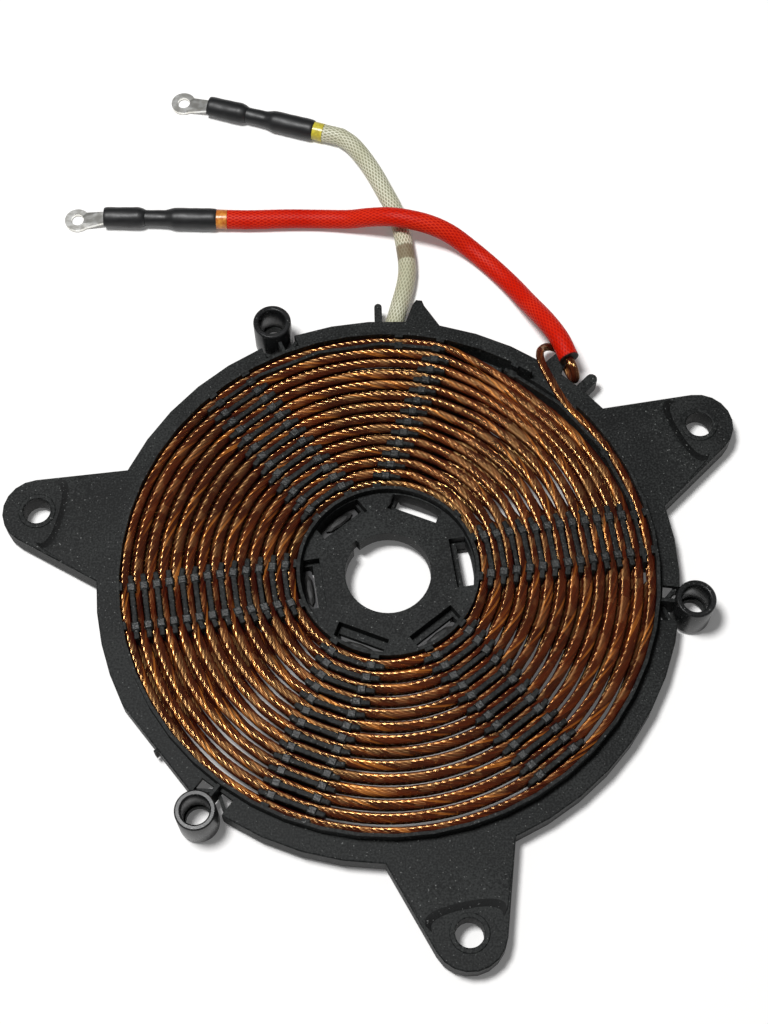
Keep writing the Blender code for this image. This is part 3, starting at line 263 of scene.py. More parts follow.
@dataclass(frozen=True)
class MouldedPlastic:
    """Charcoal glass-filled plastic with a fine grain and softened edges."""

    name: str
    dark: Triple = (0.0055, 0.0062, 0.0062)
    pale: Triple = (0.029, 0.031, 0.0305)
    fleck: Triple = (0.16, 0.165, 0.16)
    roughness: float = 0.58
    specular_and_painted_sheen: float = 0.16
    grain: float = 0.00009
    edge: float = 0.00022

    def build(self) -> Material:
        """Returns the material."""
        graph = Graph(self.name)
        speckle = graph.noise(1500.0, 3.0)
        cloud = graph.noise(55.0, 4.0)
        flow = graph.noise(420.0, 3.0)
        spark = graph.noise(1300.0, 1.0)
        colour = graph.blend((speckle * 0.7 + cloud * 0.3).span(0.40, 0.64), self.dark, self.pale)
        colour = graph.blend(spark.span(0.69, 0.77), colour, self.fleck)
        rough = self.roughness + (cloud - 0.5) * 0.25 + (speckle - 0.5) * 0.2
        height = speckle * 0.75 + flow * 0.25
        normal = graph.bump(height, self.grain, 0.8, Normal=graph.soft_edges(self.edge))
        return graph.finish(colour, rough, normal, {"Specular IOR Level": self.specular_and_painted_sheen})


@dataclass(frozen=True)
class EnamelledCopper:
    """Twisted strands of enamelled copper wire, read from the winding's own map."""

    name: str
    strands: int = 14
    deep: Triple = (0.048, 0.005, 0.005)
    copper: Triple = (0.130, 0.017, 0.006)
    gold: Triple = (0.44, 0.140, 0.022)

    def build(self) -> Material:
        """Returns the material."""
        graph = Graph(self.name)
        along, around = graph.surface()
        strand = (around * float(self.strands)).act("FLOOR")
        own = {"X": strand * 7.31, "Y": along * 24.0, "Z": strand * 3.7}
        tone = graph.noise(1.0, 2.0, graph.node("ShaderNodeCombineXYZ", None, own).outputs[0])
        drift = graph.noise(38.0, 2.0)
        warm = graph.blend((tone * 0.7 + drift * 0.3).span(0.44, 0.62), self.deep, self.copper)
        colour = graph.blend(tone.span(0.57, 0.68) * 0.8, warm, self.gold)
        fine = (around * (math.tau * self.strands * 3)).act("SINE")
        normal = graph.bump(fine * 0.5 + graph.noise(2600.0) * 0.5, 0.00003, 0.5)
        dull = graph.noise(150.0, 2.0).span(0.46, 0.62)
        rough = 0.09 + tone * 0.11 + dull * 0.24
        enamel = {"Specular IOR Level": 1.0, "Specular Tint": (1.0, 0.64, 0.24), "IOR": 1.8}
        return graph.finish(colour, rough, normal, {"Metallic": 0.30, **enamel})


@dataclass(frozen=True)
class VarnishedBraid:
    """Glass-fibre sleeving: flat plaited yarns under a thin varnish, read from the sleeve's own map, with
    painted shade between the yarns and at the mouth and a painted sheen on their crests.
    """

    name: str
    yarn: Triple
    # Painted shade: the darker colour between the yarns.
    gap: Triple
    # Painted sheen: a lighter colour for the yarn crests.
    specular_and_painted_sheen: Triple
    yarns: int
    pitch: float
    varnish: float = 0.25
    # Painted shade at the sleeve's open end.
    mouth: Triple = (0.014, 0.010, 0.008)
    stain: Triple | None = None
    stain_span: Pair = (0.0, 0.0)

    def build(self) -> Material:
        """Returns the material."""
        graph = Graph(self.name)
        along, around = graph.surface()
        cell = along * (math.tau / self.pitch)
        turn = around * (math.tau * self.yarns)
        left = (cell + turn).act("SINE") * 0.5 + 0.5
        right = (cell - turn).act("SINE") * 0.5 + 0.5
        weave = left.act("MAXIMUM", right)
        fibre = graph.noise(3800.0, 2.0)
        patch = graph.noise(70.0, 3.0)
        # Painted shade: the gap colour darkens the sleeve between the yarns.
        colour = graph.blend((weave * 0.8 + fibre * 0.2).span(0.42, 0.86), self.gap, self.yarn)
        # Painted sheen: a lighter colour on the yarn crests, in patches.
        colour = graph.blend((weave * 0.55 + patch * 0.45).span(0.66, 0.82) * 0.6, colour, self.specular_and_painted_sheen)
        if self.stain:
            soft = 0.0006
            since, until = (along.span(place - soft, place + soft) for place in self.stain_span)
            band = since * (1 - until)
            colour = graph.blend(band * (0.60 + patch * 0.4), colour, self.stain)
        # Painted shade: the sleeve's mouth end goes near-black, for the shaded inside of the open sleeve.
        colour = graph.blend(along.span(0.0002, 0.0008), self.mouth, colour)
        normal = graph.bump(weave * 0.7 + fibre * 0.3, 0.00010, 0.7)
        rough = 0.60 - weave * 0.20 + (patch - 0.5) * 0.2
        return graph.finish(colour, rough, normal, {"Specular IOR Level": self.varnish})


@dataclass(frozen=True)
class ShrinkTube:
    """Satin black shrink tube with faint wrinkles."""

    name: str

    def build(self) -> Material:
        """Returns the material."""
        graph = Graph(self.name)
        wrinkle = graph.noise(260.0, 4.0)
        dust = graph.noise(4200.0, 2.0)
        colour = graph.blend(dust.span(0.52, 0.75), (0.0085, 0.0088, 0.0095), (0.020, 0.020, 0.021))
        normal = graph.bump(wrinkle * 0.8 + dust * 0.2, 0.00012, 0.5)
        return graph.finish(colour, 0.34 + wrinkle * 0.22, normal)


@dataclass(frozen=True)
class TinnedMetal:
    """Bright tinned copper with rolling marks and dull patches."""

    name: str

    def build(self) -> Material:
        """Returns the material."""
        graph = Graph(self.name)
        cloud = graph.noise(420.0, 4.0)
        mark = graph.noise(2400.0, 3.0)
        colour = graph.blend(cloud.span(0.42, 0.62), (0.80, 0.79, 0.74), (0.95, 0.95, 0.92))
        rough = 0.26 + cloud * 0.20 + mark * 0.08
        normal = graph.bump(mark * 0.5 + cloud * 0.5, 0.00004, 0.6, Normal=graph.soft_edges(0.00012))
        return graph.finish(colour, rough, normal, {"Metallic": 1.0})


@dataclass(frozen=True)
class ClearTape:
    """Coloured film wound round the sleeve's end, with the braid showing through."""

    name: str
    tint: Triple
    deep: Triple

    def build(self) -> Material:
        """Returns the material."""
        graph = Graph(self.name)
        bubble = graph.noise(900.0, 3.0)
        patch = graph.noise(180.0, 2.0)
        colour = graph.blend((bubble * 0.5 + patch * 0.5).span(0.40, 0.62), self.deep, self.tint)
        normal = graph.bump(bubble, 0.00010, 0.5)
        return graph.finish(colour, 0.22 + bubble * 0.15, normal)


@dataclass(frozen=True)
class FerriteCeramic:
    """Dark sintered ferrite."""

    name: str

    def build(self) -> Material:
        """Returns the material."""
        graph = Graph(self.name)
        pore = graph.noise(3000.0, 4.0)
        cloud = graph.noise(90.0, 3.0)
        colour = graph.blend(cloud.span(0.40, 0.62), (0.020, 0.020, 0.022), (0.045, 0.044, 0.046))
        normal = graph.bump(pore, 0.00005, 0.7, Normal=graph.soft_edges(0.00020))
        return graph.finish(colour, 0.42 + pore * 0.25, normal)


@dataclass(frozen=True)
class BondingResin:
    """Dark resin, smooth where it has run and dull where it is thin."""

    name: str

    def build(self) -> Material:
        """Returns the material."""
        graph = Graph(self.name)
        flow = graph.noise(240.0, 3.0)
        colour = graph.blend(flow.span(0.40, 0.65), (0.010, 0.010, 0.010), (0.026, 0.025, 0.024))
        normal = graph.bump(flow, 0.00030, 0.6)
        return graph.finish(colour, 0.42 + flow * 0.25, normal)


def linked(name: str, data: bpy.types.ID) -> Object:
    """Returns a new object of the scene with this data."""
    obj = bpy.data.objects.new(name, data)
    bpy.context.scene.collection.objects.link(obj)
    return obj


def published(bm: BMesh, name: str, sharp: float = 40.0) -> Object:
    """Makes an object from a finished bmesh, which is freed.

    Args:
        bm: The shape, already in its place in the world.
        name: The object's name.
        sharp: Edges over this angle stay sharp, in degrees. So do the edges of level faces.

    Returns:
        The object.
    """
    bm.normal_update()
    limit = math.radians(sharp)
    for face in bm.faces:
        face.smooth = True
    for edge in bm.edges:
        if len(edge.link_faces) == 2:
            level = [abs(face.normal.z) > LEVEL for face in edge.link_faces]
            edge.smooth = edge.calc_face_angle(0.0) < limit and level[0] == level[1]
    mesh = bpy.data.meshes.new(name)
    bm.to_mesh(mesh)
    bm.free()
    return linked(name, mesh)


def dressed(obj: Object, material: Material, replaced: Sequence[str] = ()) -> Object:
    """Gives a piece its material and its body.

    Args:
        obj: The piece.
        material: Its material.
        replaced: The CAD nodes that it stands for.

    Returns:
        The piece.
    """
    obj.data.materials.clear()
    obj.data.materials.append(material)
    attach(obj, "root")
    if replaced:
        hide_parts(*replaced)
    LOG.info("piece %s with %d faces", obj.name, len(obj.data.polygons))
    return obj


def frames_along(points: Array) -> tuple[Array, Array]:
    """Directions square to a line that turn with it as little as they can.

    Args:
        points: The line's points.

    Returns:
        Two unit directions at each point; the first starts upright.
    """
    tangents = np.gradient(points, axis=0)
    tangents /= np.linalg.norm(tangents, axis=1, keepdims=True)
    first = np.zeros_like(points)
    current = np.array((0.0, 0.0, 1.0))
    for index, tangent in enumerate(tangents):
        current = current - tangent * float(current @ tangent)
        current /= np.linalg.norm(current)
        first[index] = current
    return first, np.cross(tangents, first)


def evenly(points: Array, spacing: float) -> tuple[Array, Array]:
    """Points at even distances along a line.

    Args:
        points: The line's points.
        spacing: About how far apart.

    Returns:
        The new points and the distance along the line to each.
    """
    steps = np.linalg.norm(np.diff(points, axis=0), axis=1)
    run = np.concatenate([[0.0], np.cumsum(steps)])
    wanted = np.linspace(0.0, run[-1], max(3, round(run[-1] / spacing) + 1))
    columns = [np.interp(wanted, run, points[:, axis]) for axis in range(3)]
    return np.stack(columns, axis=1), wanted


def sweep(
    name: str,
    points: Array,
    radii: Array,
    run: Array,
    twist: Array | float = 0.0,
    spread: Array | float = 0.0,
) -> Object:
    """A tube whose radius may vary along it and around it.

    Args:
        name: The object's name.
        points: Its middle line, from the coil's axis.
        radii: The radius at each point and each side.
        run: The distance along the line, kept as U of its map. V goes once around.
        twist: How far each ring is turned, in radians.
        spread: By what share each ring is wider than it is high.

    Returns:
        The closed tube, in its place in the world.
    """
    rings, sides = radii.shape
    twist, spread = (np.broadcast_to(value, rings) for value in (twist, spread))
    bm = bmesh.new()
    bm.loops.layers.uv.new("UVMap")
    bmesh.ops.create_grid(bm, x_segments=rings - 1, y_segments=sides, size=0.5, calc_uvs=True)
    grid = np.round([vert.co[:2] for vert in bm.verts], 7)
    ring, side = (np.unique(column, return_inverse=True)[1].reshape(-1) for column in grid.T)
    upright, across = frames_along(points)
    angle = math.tau * (side % sides) / sides + twist[ring]
    reach = radii[ring, side % sides] * (1 + spread[ring] * np.sin(angle) ** 2)
    spoke = upright[ring] * np.cos(angle)[:, None] + across[ring] * np.sin(angle)[:, None]
    placed = points[ring] + spoke * reach[:, None] + np.array(AXIS)
    for vert, place in zip(bm.verts, placed):
        vert.co = place
    layer = bm.loops.layers.uv.active
    bm.verts.index_update()
    for face in bm.faces:
        for loop in face.loops:
            index = loop.vert.index
            loop[layer].uv = (run[ring[index]], side[index] / sides)
    bmesh.ops.remove_doubles(bm, verts=bm.verts, dist=1e-7)
    ends = [edge for edge in bm.edges if edge.is_boundary]
    bmesh.ops.holes_fill(bm, edges=ends, sides=0)
    bmesh.ops.recalc_face_normals(bm, faces=bm.faces)
    return published(bm, name)


def lathe(bm: BMesh, profile: Pairs, centre: Vector, steps: int) -> None:
    """Spins a closed outline about an upright axis and adds it to a bmesh.

    Args:
        bm: The bmesh to add to.
        profile: Radius and height of each corner.
        centre: Where the axis stands, from the coil's axis.
        steps: Sides of the round.
    """
    others = set(bm.verts)
    verts = [bm.verts.new((radius, 0.0, height)) for radius, height in profile]
    edges = [bm.edges.new((verts[index - 1], verts[index])) for index in range(len(verts))]
    bmesh.ops.spin(
        bm, geom=verts + edges, cent=(0, 0, 0), axis=UP, angle=math.tau, steps=steps, use_merge=True
    )
    bmesh.ops.translate(bm, vec=centre + AXIS, verts=[vert for vert in bm.verts if vert not in others])


def block(bm: BMesh, size: Triple, place: Matrix, bevel: float) -> None:
    """Adds a bevelled block to a bmesh.

    Args:
        bm: The bmesh to add to.
        size: Its three sides.
        place: Where it goes.
        bevel: Width of its rounded edges.
    """
    made = bmesh.ops.create_cube(bm, size=1.0)["verts"]
    bmesh.ops.scale(bm, vec=size, verts=made)
    edges = list({edge for vert in made for edge in vert.link_edges})
    rounded = bmesh.ops.bevel(
        bm, geom=edges, offset=bevel, segments=2, profile=0.5, affect="EDGES", material=-1
    )["verts"]
    verts = {vert for vert in made if vert.is_valid} | set(rounded)
    bmesh.ops.transform(bm, matrix=place, verts=list(verts))


def divider_radius(index: float | Array) -> float | Array:
    """Returns the radius of a divider, or of a place between two."""
    return COIL_WALL_RADIUS - index * GROOVE_PITCH


def divider_place(index: int, spoke: float, across: float, height: float) -> Matrix:
    """Where a detail of a divider stands.

    Args:
        index: Which divider, from the coil wall inwards.
        spoke: The spoke's angle.
        across: Distance beside the spoke's middle, along the divider.
        height: Height of its middle.

    Returns:
        A matrix with X outwards and Y along the divider.
    """
    chord, corner, _ = polar(divider_radius(index), DIVIDER_BEND)
    if abs(across) > corner:
        side = math.copysign(1.0, across)
        spoke += side * 2 * DIVIDER_BEND
        across -= side * 2 * corner
    place = polar(chord, spoke) + polar(across, spoke + 90) + UP * height
    return Matrix.Translation(place + AXIS) @ Matrix.Rotation(math.radians(spoke), 4, "Z")


@dataclass
class Former:
    """The moulded former: its refined body and the small details that stand on it."""

    plastic: Material
    gloss: Material
    rough: Material
    # A darker copy of the plastic that paints shade on the ear steps' slopes.
    band: Material
    bare_spokes: tuple[float, ...] = SPOKE_ANGLES[:3]
    head_offset: float = 0.0070
    head_size: Triple = (0.00290, 0.00330, 0.00075)
    head_taper: float = 0.70
    crossover_heads: float = 0.0134
    cap_width: float = 0.0018
    cap_height: float = 0.0015
    cap_drop: float = 0.0007
    cap_bevel: float = 0.00040
    cap_overlap: float = 0.0001
    tip_reach: float = 0.0114
    tip_width: float = 0.00135
    tip_height: float = 0.0058
    tip_drop: float = 0.0032
    tip_bevel: float = 0.00035
    tip_cap_drop: float = 0.0009
    tip_cap_bevel: float = 0.00045
    tip_setback: float = 0.0008
    boss_angles: tuple[float, ...] = (113.6, 233.6, 353.6)
    boss_radius: float = 0.1021
    ear_angles: tuple[float, ...] = (27.4, 168.9, 281.9)
    ear_hole_radius: float = 0.1218
    ear_tip: float = 0.0119
    ear_root: float = 0.0210
    ear_length: float = 0.0241
    step_corner: float = 0.0048
    step_crown: float = 0.0096
    step_slope: float = 0.0024
    step_end: float = 0.0225
    step_rise: float = 0.00060
    step_rows: int = 9
    step_arch: float = 2.6
    step_inset: float = 0.0008
    step_sink: float = 0.00004
    step_skirt: float = 0.0005
    painted_shade_slope_normals: Pair = (0.5, 0.993)

    def body(self, node: Object) -> Object:
        """A merged copy of the former's solid, shaded smooth where it is round.

        Args:
            node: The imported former.

        Returns:
            The piece.
        """
        bm = bmesh.new()
        bm.from_mesh(node.data)
        bmesh.ops.remove_doubles(bm, verts=bm.verts, dist=2e-6)
        level = math.radians(0.2)
        bmesh.ops.dissolve_limit(bm, angle_limit=level, verts=bm.verts, edges=bm.edges)
        return dressed(published(bm, "former_body", 32.0), self.plastic, ["coil_former"])

    def divider_marks(self) -> Iterable[tuple[int, float, float]]:
        """Yields divider, spoke and distance beside the spoke for each clip head."""
        for spoke in SPOKE_ANGLES:
            for index in range(2 if spoke in self.bare_spokes else 1, GROOVES):
                if spoke == CROSSOVER_SPOKE:
                    yield index, spoke, self.crossover_heads
                else:
                    yield index, spoke, self.head_offset
                    yield index, spoke, -self.head_offset

    def clip_caps(self) -> Object:
        """Returns the raised square tops of the clip heads, as blunt pyramids."""
        bm = bmesh.new()
        turn = Matrix.Rotation(math.pi / 4, 4, "Z")
        size = Matrix.Diagonal((*self.head_size, 1.0))
        corner = math.sqrt(0.5)
        radii = {"radius1": corner, "radius2": self.head_taper * corner}
        for index, spoke, across in self.divider_marks():
            place = divider_place(index, spoke, across, WALL_TOP) @ size @ turn
            bmesh.ops.create_cone(bm, cap_ends=True, segments=4, **radii, depth=1.0, matrix=place)
        return dressed(published(bm, "clip_head_tops", 10.0), self.rough)

    def divider_tips(self) -> Object:
        """Returns the thin tips that run on past the clip heads, each a wall with a wider top."""
        bm = bmesh.new()
        reach = self.tip_reach - self.head_offset
        wall = (self.tip_width, reach, self.tip_height)
        cap = (self.cap_width, reach, self.cap_height)
        wall_height = WALL_TOP - self.tip_drop
        for index, spoke, across in self.divider_marks():
            middle = across + math.copysign(reach / 2, across)
            block(bm, wall, divider_place(index, spoke, middle, wall_height), self.tip_bevel)
            place = divider_place(index, spoke, middle, WALL_TOP - self.tip_cap_drop)
            block(bm, cap, place, self.tip_cap_bevel)
            if spoke == CROSSOVER_SPOKE:
                middle = across - reach / 2 - self.tip_setback
                block(bm, wall, divider_place(index, spoke, middle, wall_height), self.tip_bevel)
        return dressed(published(bm, "divider_tips"), self.plastic)

    def divider_caps(self) -> Object:
        """Returns the wider tops of the dividers between their clip heads."""
        bm = bmesh.new()
        for index, spoke, reach in self.divider_marks():
            if spoke == CROSSOVER_SPOKE:
                continue
            corner = divider_radius(index) * math.sin(math.radians(DIVIDER_BEND))
            corner = math.copysign(min(abs(reach), corner), reach)
            stretches = [(corner / 2, abs(corner))]
            if abs(corner) < abs(reach):
                stretches.append(((corner + reach) / 2, abs(reach - corner)))
            for middle, length in stretches:
                size = (self.cap_width, length + self.cap_overlap, self.cap_height)
                place = divider_place(index, spoke, middle, WALL_TOP - self.cap_drop)
                block(bm, size, place, self.cap_bevel)
        return dressed(published(bm, "divider_caps"), self.plastic)

    def ear_steps(self) -> Object:
        """The curved steps between the ears' roots and the flat pads round their holes.

        Returns:
            The piece. Each step is a thin wedge that runs out before the rim, with painted shade on its
            slope: a darker copy of the plastic.
        """
        bm = bmesh.new()
        rows = self.step_rows
        for degrees in self.ear_angles:
            grid = bmesh.ops.create_grid(bm, x_segments=4 * rows, y_segments=rows, size=0.5)["verts"]
            share, row = np.array([vert.co[:2] for vert in grid]).T
            share = share * 2
            row = np.round((row + 0.5) * rows)
            crown = (self.step_crown - self.step_corner) * np.sqrt(1 - np.abs(share) ** self.step_arch)
            arch = self.step_corner + crown
            run = np.clip((row - 1) / (rows - 1), 0.0, 1.0)
            fall = self.step_rise * (1 - eased(run, 0.0, 1.0))
            inward = np.where(row == 0, arch - self.step_slope, arch + (self.step_end - arch) * run)
            half = self.ear_tip + (self.ear_root - self.ear_tip) * inward / self.ear_length
            side = share * (half - self.step_inset * np.where(row == 0, 2, 1))
            rise = np.where(row == 0, 0.0, fall) - self.step_sink
            turn = Matrix.Rotation(math.radians(degrees), 4, "Z")
            for vert, along, across, up in zip(grid, inward, side, rise):
                vert.co = turn @ Vector((self.ear_hole_radius - along, across, PLATE_TOP + up)) + AXIS
        skirt = bmesh.ops.extrude_face_region(bm, geom=list(bm.faces))["geom"]
        for vert in skirt:
            if isinstance(vert, BMVert):
                vert.co.z = PLATE_TOP - self.step_skirt
        bmesh.ops.recalc_face_normals(bm, faces=bm.faces)
        steps = dressed(published(bm, "ear_steps"), self.plastic)
        steps.data.materials.append(self.band)
        # The slope faces get the darker plastic, as painted shade.
        for face in steps.data.polygons:
            if self.painted_shade_slope_normals[0] < face.normal.z < self.painted_shade_slope_normals[1]:
                face.material_index = 1
        return steps

    def turned_details(self) -> None:
        """Makes the finely turned skins of the screw bosses and the raised rings of the ear holes."""
        skin = (
            (0.00667, 0.0017), (0.00667, 0.01615), (0.00652, 0.01650), (0.00618, 0.01672),
            (0.00512, 0.01672), (0.00480, 0.01655), (0.00466, 0.01625), (0.00466, 0.0052),
        )
        ring = (
            (0.00460, 0.0030), (0.00460, 0.01015), (0.00478, 0.01030), (0.00505, 0.01038),
            (0.00600, 0.01038), (0.00625, 0.01028), (0.00640, 0.00990), (0.00520, 0.00980),
            (0.00520, 0.0030),
        )
        for name, profile, radius, angles, steps, material in (
            ("screw_boss_skins", skin, self.boss_radius, self.boss_angles, 64, self.gloss),
            ("ear_hole_rings", ring, self.ear_hole_radius, self.ear_angles, 56, self.plastic),
        ):
            bm = bmesh.new()
            for degrees in angles:
                lathe(bm, profile, polar(radius, degrees), steps)
            bmesh.ops.recalc_face_normals(bm, faces=bm.faces)
            dressed(published(bm, name), material)

    def build(self, node: Object) -> None:
        """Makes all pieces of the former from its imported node."""
        self.body(node)
        self.clip_caps()
        self.divider_tips()
        self.divider_caps()
        self.turned_details()
        self.ear_steps()


@dataclass
class LitzWinding:
    """Twenty-eight turns of twisted litz wire in two layers, one unbroken wire."""

    copper: Material
    # The copper darkened as painted shade, for the lower turns under the upper ones.
    copper_in_painted_shade: Material
    diameter: float = 0.0029
    lower: float = 0.0089
    upper: float = 0.0119
    lobes: int = 14
    lobe_depth: float = 0.00015
    sides: int = 56
    spacing: float = 0.0017
    twist_pitch: float = 0.034
    start: float = 99.0
    turnover: float = 76.0
    end: float = 39.0
    inside_sleeve: float = 0.0040
    straight: float = 0.0022
    rim_gap: float = 0.0002
    slack: float = 0.15
    random_seed: int = 7
    knot_step: float = 17.0
    knot_margin: float = 30.0
    sway: float = 0.00010
    lift: float = 0.00002
    free_beside: Pair = (0.0080, 0.0060)
    free_inside: Pair = (0.0042, 0.0015)
    sag_beside: Pair = (0.0092, 0.0075)
    unwalled: Pair = (140.0, 358.0)
    sag_by_angle: Pairs = (
        (9.0, 0.42), (189.0, 0.44), (212.0, 0.44), (230.0, 0.10), (249.0, 0.04),
        (309.0, 0.04), (326.0, 0.10), (343.0, 0.44), (369.0, 0.42),
    )
    lower_shift: Pairs = ((396, 0.0), (405, 0.25), (415, 0.55), (425, 0.85), (432, 0.97), (436, 1.0))
    climb: Pair = (350.0, 80.0)
    drift_by_turn: Pairs = (
        (1, 0.40), (2, 0.12), (3, -0.15), (4, -0.40), (5, -0.52), (6, -0.58), (7, -0.55),
    )
    drift_by_angle: Pairs = ((365, 0.0), (380, 0.35), (395, 0.85), (410, 1.0))
    upper_shift: Pairs = ((410, 0.0), (422, 0.30), (430, 0.65), (434, 0.86), (438, 1.0))
    last_shift: Pairs = ((360, 0.0), (396, -0.07))

    def turns(self, angle: Array) -> tuple[Array, Array]:
        """Returns the turn that each running angle lies in and the angle within it."""
        turn = np.clip(np.floor((angle - self.turnover) / 360.0), 0, GROOVES - 1)
        return turn, angle - 360.0 * turn

    def lower_layer(self) -> Array:
        """Returns the points of the turns that run inwards, with the climb at their end."""
        angle = np.arange(self.start, self.turnover + 360.0 * GROOVES + 0.5, 1.0)
        turn, local = self.turns(angle)
        shift = np.interp(local, *zip(*self.lower_shift))
        groove = turn + 0.5 + np.where(turn < GROOVES - 1, shift, 0.0)
        round_coil = angle % 360.0
        free = (turn > 0) | ((round_coil > self.unwalled[0]) & (round_coil < self.unwalled[1]))
        groove = groove + self.bulge(angle, groove) * (free & (turn < GROOVES - 1))
        climb = eased(local, *self.climb) * (turn == GROOVES - 1)
        height = self.lower + (self.upper - self.lower) * climb
        return self.spiral(angle, groove, height)

    def freedom(self, points: Array) -> Array:
        """How free the wire is of the dividers.

        Args:
            points: Points from the coil's axis.

        Returns:
            0 between dividers and outside the coil, 1 well away from them.
        """
        radius = np.hypot(points[:, 0], points[:, 1])
        angle = np.degrees(np.arctan2(points[:, 1], points[:, 0]))
        across = radius * np.sin(np.radians(from_spoke(angle)))
        start, width = self.free_inside
        inside = 1 - eased(radius, COIL_WALL_RADIUS - start, width)
        return eased(across, *self.free_beside) * inside

    def bulge(self, angle: Array, groove: Array) -> Array:
        """How far the lower turns sag inwards between the spokes.

        Args:
            angle: Running angle in degrees.
            groove: Place among the grooves.

        Returns:
            The sag, in grooves.
        """
        within = (angle - SPOKE_ANGLES[0]) % 360.0 + SPOKE_ANGLES[0]
        most = np.interp(within, *zip(*self.sag_by_angle))
        across = divider_radius(groove) * np.sin(np.radians(from_spoke(within)))
        return most * eased(across, *self.sag_beside)

    def upper_layer(self) -> Array:
        """Returns the points of the turns that run outwards."""
        angle = np.arange(self.turnover + 1.0, self.end + 360.0 * GROOVES, 1.0)
        turn, local = self.turns(angle)
        start = GROOVES - 1 - turn
        drift = np.interp(start, *zip(*self.drift_by_turn)) * np.interp(local, *zip(*self.drift_by_angle))
        crossed = np.interp(local, *zip(*self.upper_shift))
        shift = drift * (1 - crossed) - crossed
        shift = np.where(start == 0, np.interp(local, *zip(*self.last_shift)), shift)
        groove = smoothed(start + 0.5 + shift, 5)
        return self.spiral(angle, groove, np.full(len(angle), self.upper))

    def spiral(self, angle: Array, groove: Array, height: Array) -> Array:
        """Turns angles and grooves into points.

        Args:
            angle: Running angle in degrees.
            groove: Place among the grooves; 0.5 is the middle of the outermost.
            height: Height above the floor.

        Returns:
            Points from the coil's axis, a little uneven between the spokes.
        """
        draw = np.random.default_rng(self.random_seed)
        knots = np.arange(angle[0], angle[-1] + self.knot_margin, self.knot_step)
        sway = smoothed(np.interp(angle, knots, draw.normal(0.0, self.sway, len(knots))), 6)
        lift = np.interp(angle, knots, draw.normal(0.0, self.lift, len(knots)))
        free = np.clip(from_spoke(angle) / SPOKE_STEP * 3.2, 0.0, 1.0)
        radius = divider_radius(groove) + sway * free
        turn = np.radians(angle)
        return np.stack([radius * np.cos(turn), radius * np.sin(turn), height + lift], axis=1)

    def lower_end(self) -> Array:
        """Returns the start of the wire, from the white lead's mouth up into the outermost groove."""
        mouth = Vector(WHITE_ROUTE[0])
        along = (Vector(WHITE_ROUTE[1]) - mouth).normalized()
        points = [mouth + along * self.inside_sleeve, mouth, mouth - along * self.straight]
        rise = self.lower - mouth.z
        for degrees, outside, share in ((90.9, 0.55, 0.28), (92.9, 0.14, 0.56), (95.6, 0.0, 0.88)):
            points.append(polar(divider_radius(0.5 - outside), degrees, mouth.z + rise * share))
        return np.array(points)

    def upper_end(self) -> Array:
        """Returns the end of the wire: over the rim, down past the tab and up into the red lead."""
        mouth = Vector(RED_ROUTE[0])
        along = (Vector(RED_ROUTE[1]) - mouth).normalized()
        over = PLATE_TOP + self.diameter / 2 + self.rim_gap
        under = PLATE_BOTTOM - self.diameter / 2 - self.rim_gap
        table = (
            (0.8995, 43.8, 1.03), (0.9190, 48.2, 1.0), (0.9470, 51.9, 1.0), (0.9760, 55.0, 1.0),
            (1.0030, 56.8, 1.0), (1.0270, 57.5, 0.80), (1.0480, 57.8, 0.42), (1.0730, 57.6, 0.12),
            (1.0900, 56.5, 0.0), (1.0900, 55.0, 0.0), (1.0640, 53.4, 0.0),
        )
        points = []
        for share, degrees, part in table:
            points.append(polar(RIM_RADIUS * share, degrees, under + (over - under) * part))
        bend = mouth - along * self.straight
        radius = (mouth.z - under) / 2
        for angle in np.linspace(math.pi, 0.0, 8):
            points.append(bend - along * radius * math.sin(angle) - UP * radius * (1 - math.cos(angle)))
        return np.array(points + [mouth, mouth + along * self.inside_sleeve])

    def line(self) -> Array:
        """Returns the whole wire's smoothed middle line."""
        lower_end = curve_through(self.lower_end(), 6)
        upper_end = curve_through(self.upper_end(), 6)
        return np.concatenate([lower_end, self.lower_layer(), self.upper_layer(), upper_end])

    def section(self, rings: int) -> Array:
        """Returns the radius at each ring and side of the twisted section, with a lobe for each strand."""
        side = np.arange(self.sides) / self.sides * math.tau
        lobe = np.sqrt(np.abs(np.cos(side * self.lobes / 2)))
        return np.tile(self.diameter / 2 - self.lobe_depth * (1 - lobe), (rings, 1))

    def build(self) -> None:
        """Makes the wire's pieces, which share one middle line and one twist."""
        points, run = evenly(self.line(), self.spacing)
        twist = run / self.twist_pitch * math.tau
        spread = self.slack * self.freedom(points)
        section = self.section(len(points))
        LOG.info("winding: %.3f m of wire", run[-1])
        cuts = np.linspace(0, len(points) - 1, 5).astype(int)
        names = ("litz_lower_outer", "litz_lower_inner", "litz_upper_inner", "litz_upper_outer")
        # The lower turns get the copper darkened with painted shade.
        finishes = (self.copper_in_painted_shade, self.copper_in_painted_shade, self.copper, self.copper)
        for name, finish, first, last in zip(names, finishes, cuts, cuts[1:]):
            part = slice(first, last + 1)
            obj = sweep(name, points[part], section[part], run[part], twist[part], spread[part])
            dressed(obj, finish, ["litz_winding"])


def curve_through(knots: Array, steps: int) -> Array:
    """A smooth curve through points.

    Args:
        knots: The points.
        steps: New points to each stretch.

    Returns:
        Points on the curve, both ends included.
    """
    ends = np.concatenate([[2 * knots[0] - knots[1]], knots, [2 * knots[-1] - knots[-2]]])
    t = (np.arange(steps) / steps)[:, None]
    fine = []
    for before, start, end, after in zip(ends, ends[1:], ends[2:], ends[3:]):
        square = 2 * before - 5 * start + 4 * end - after
        cube = 3 * start - before - 3 * end + after
        fine.append(start + ((end - before) * t + square * t**2 + cube * t**3) / 2)
    return np.concatenate([*fine, knots[-1:]])


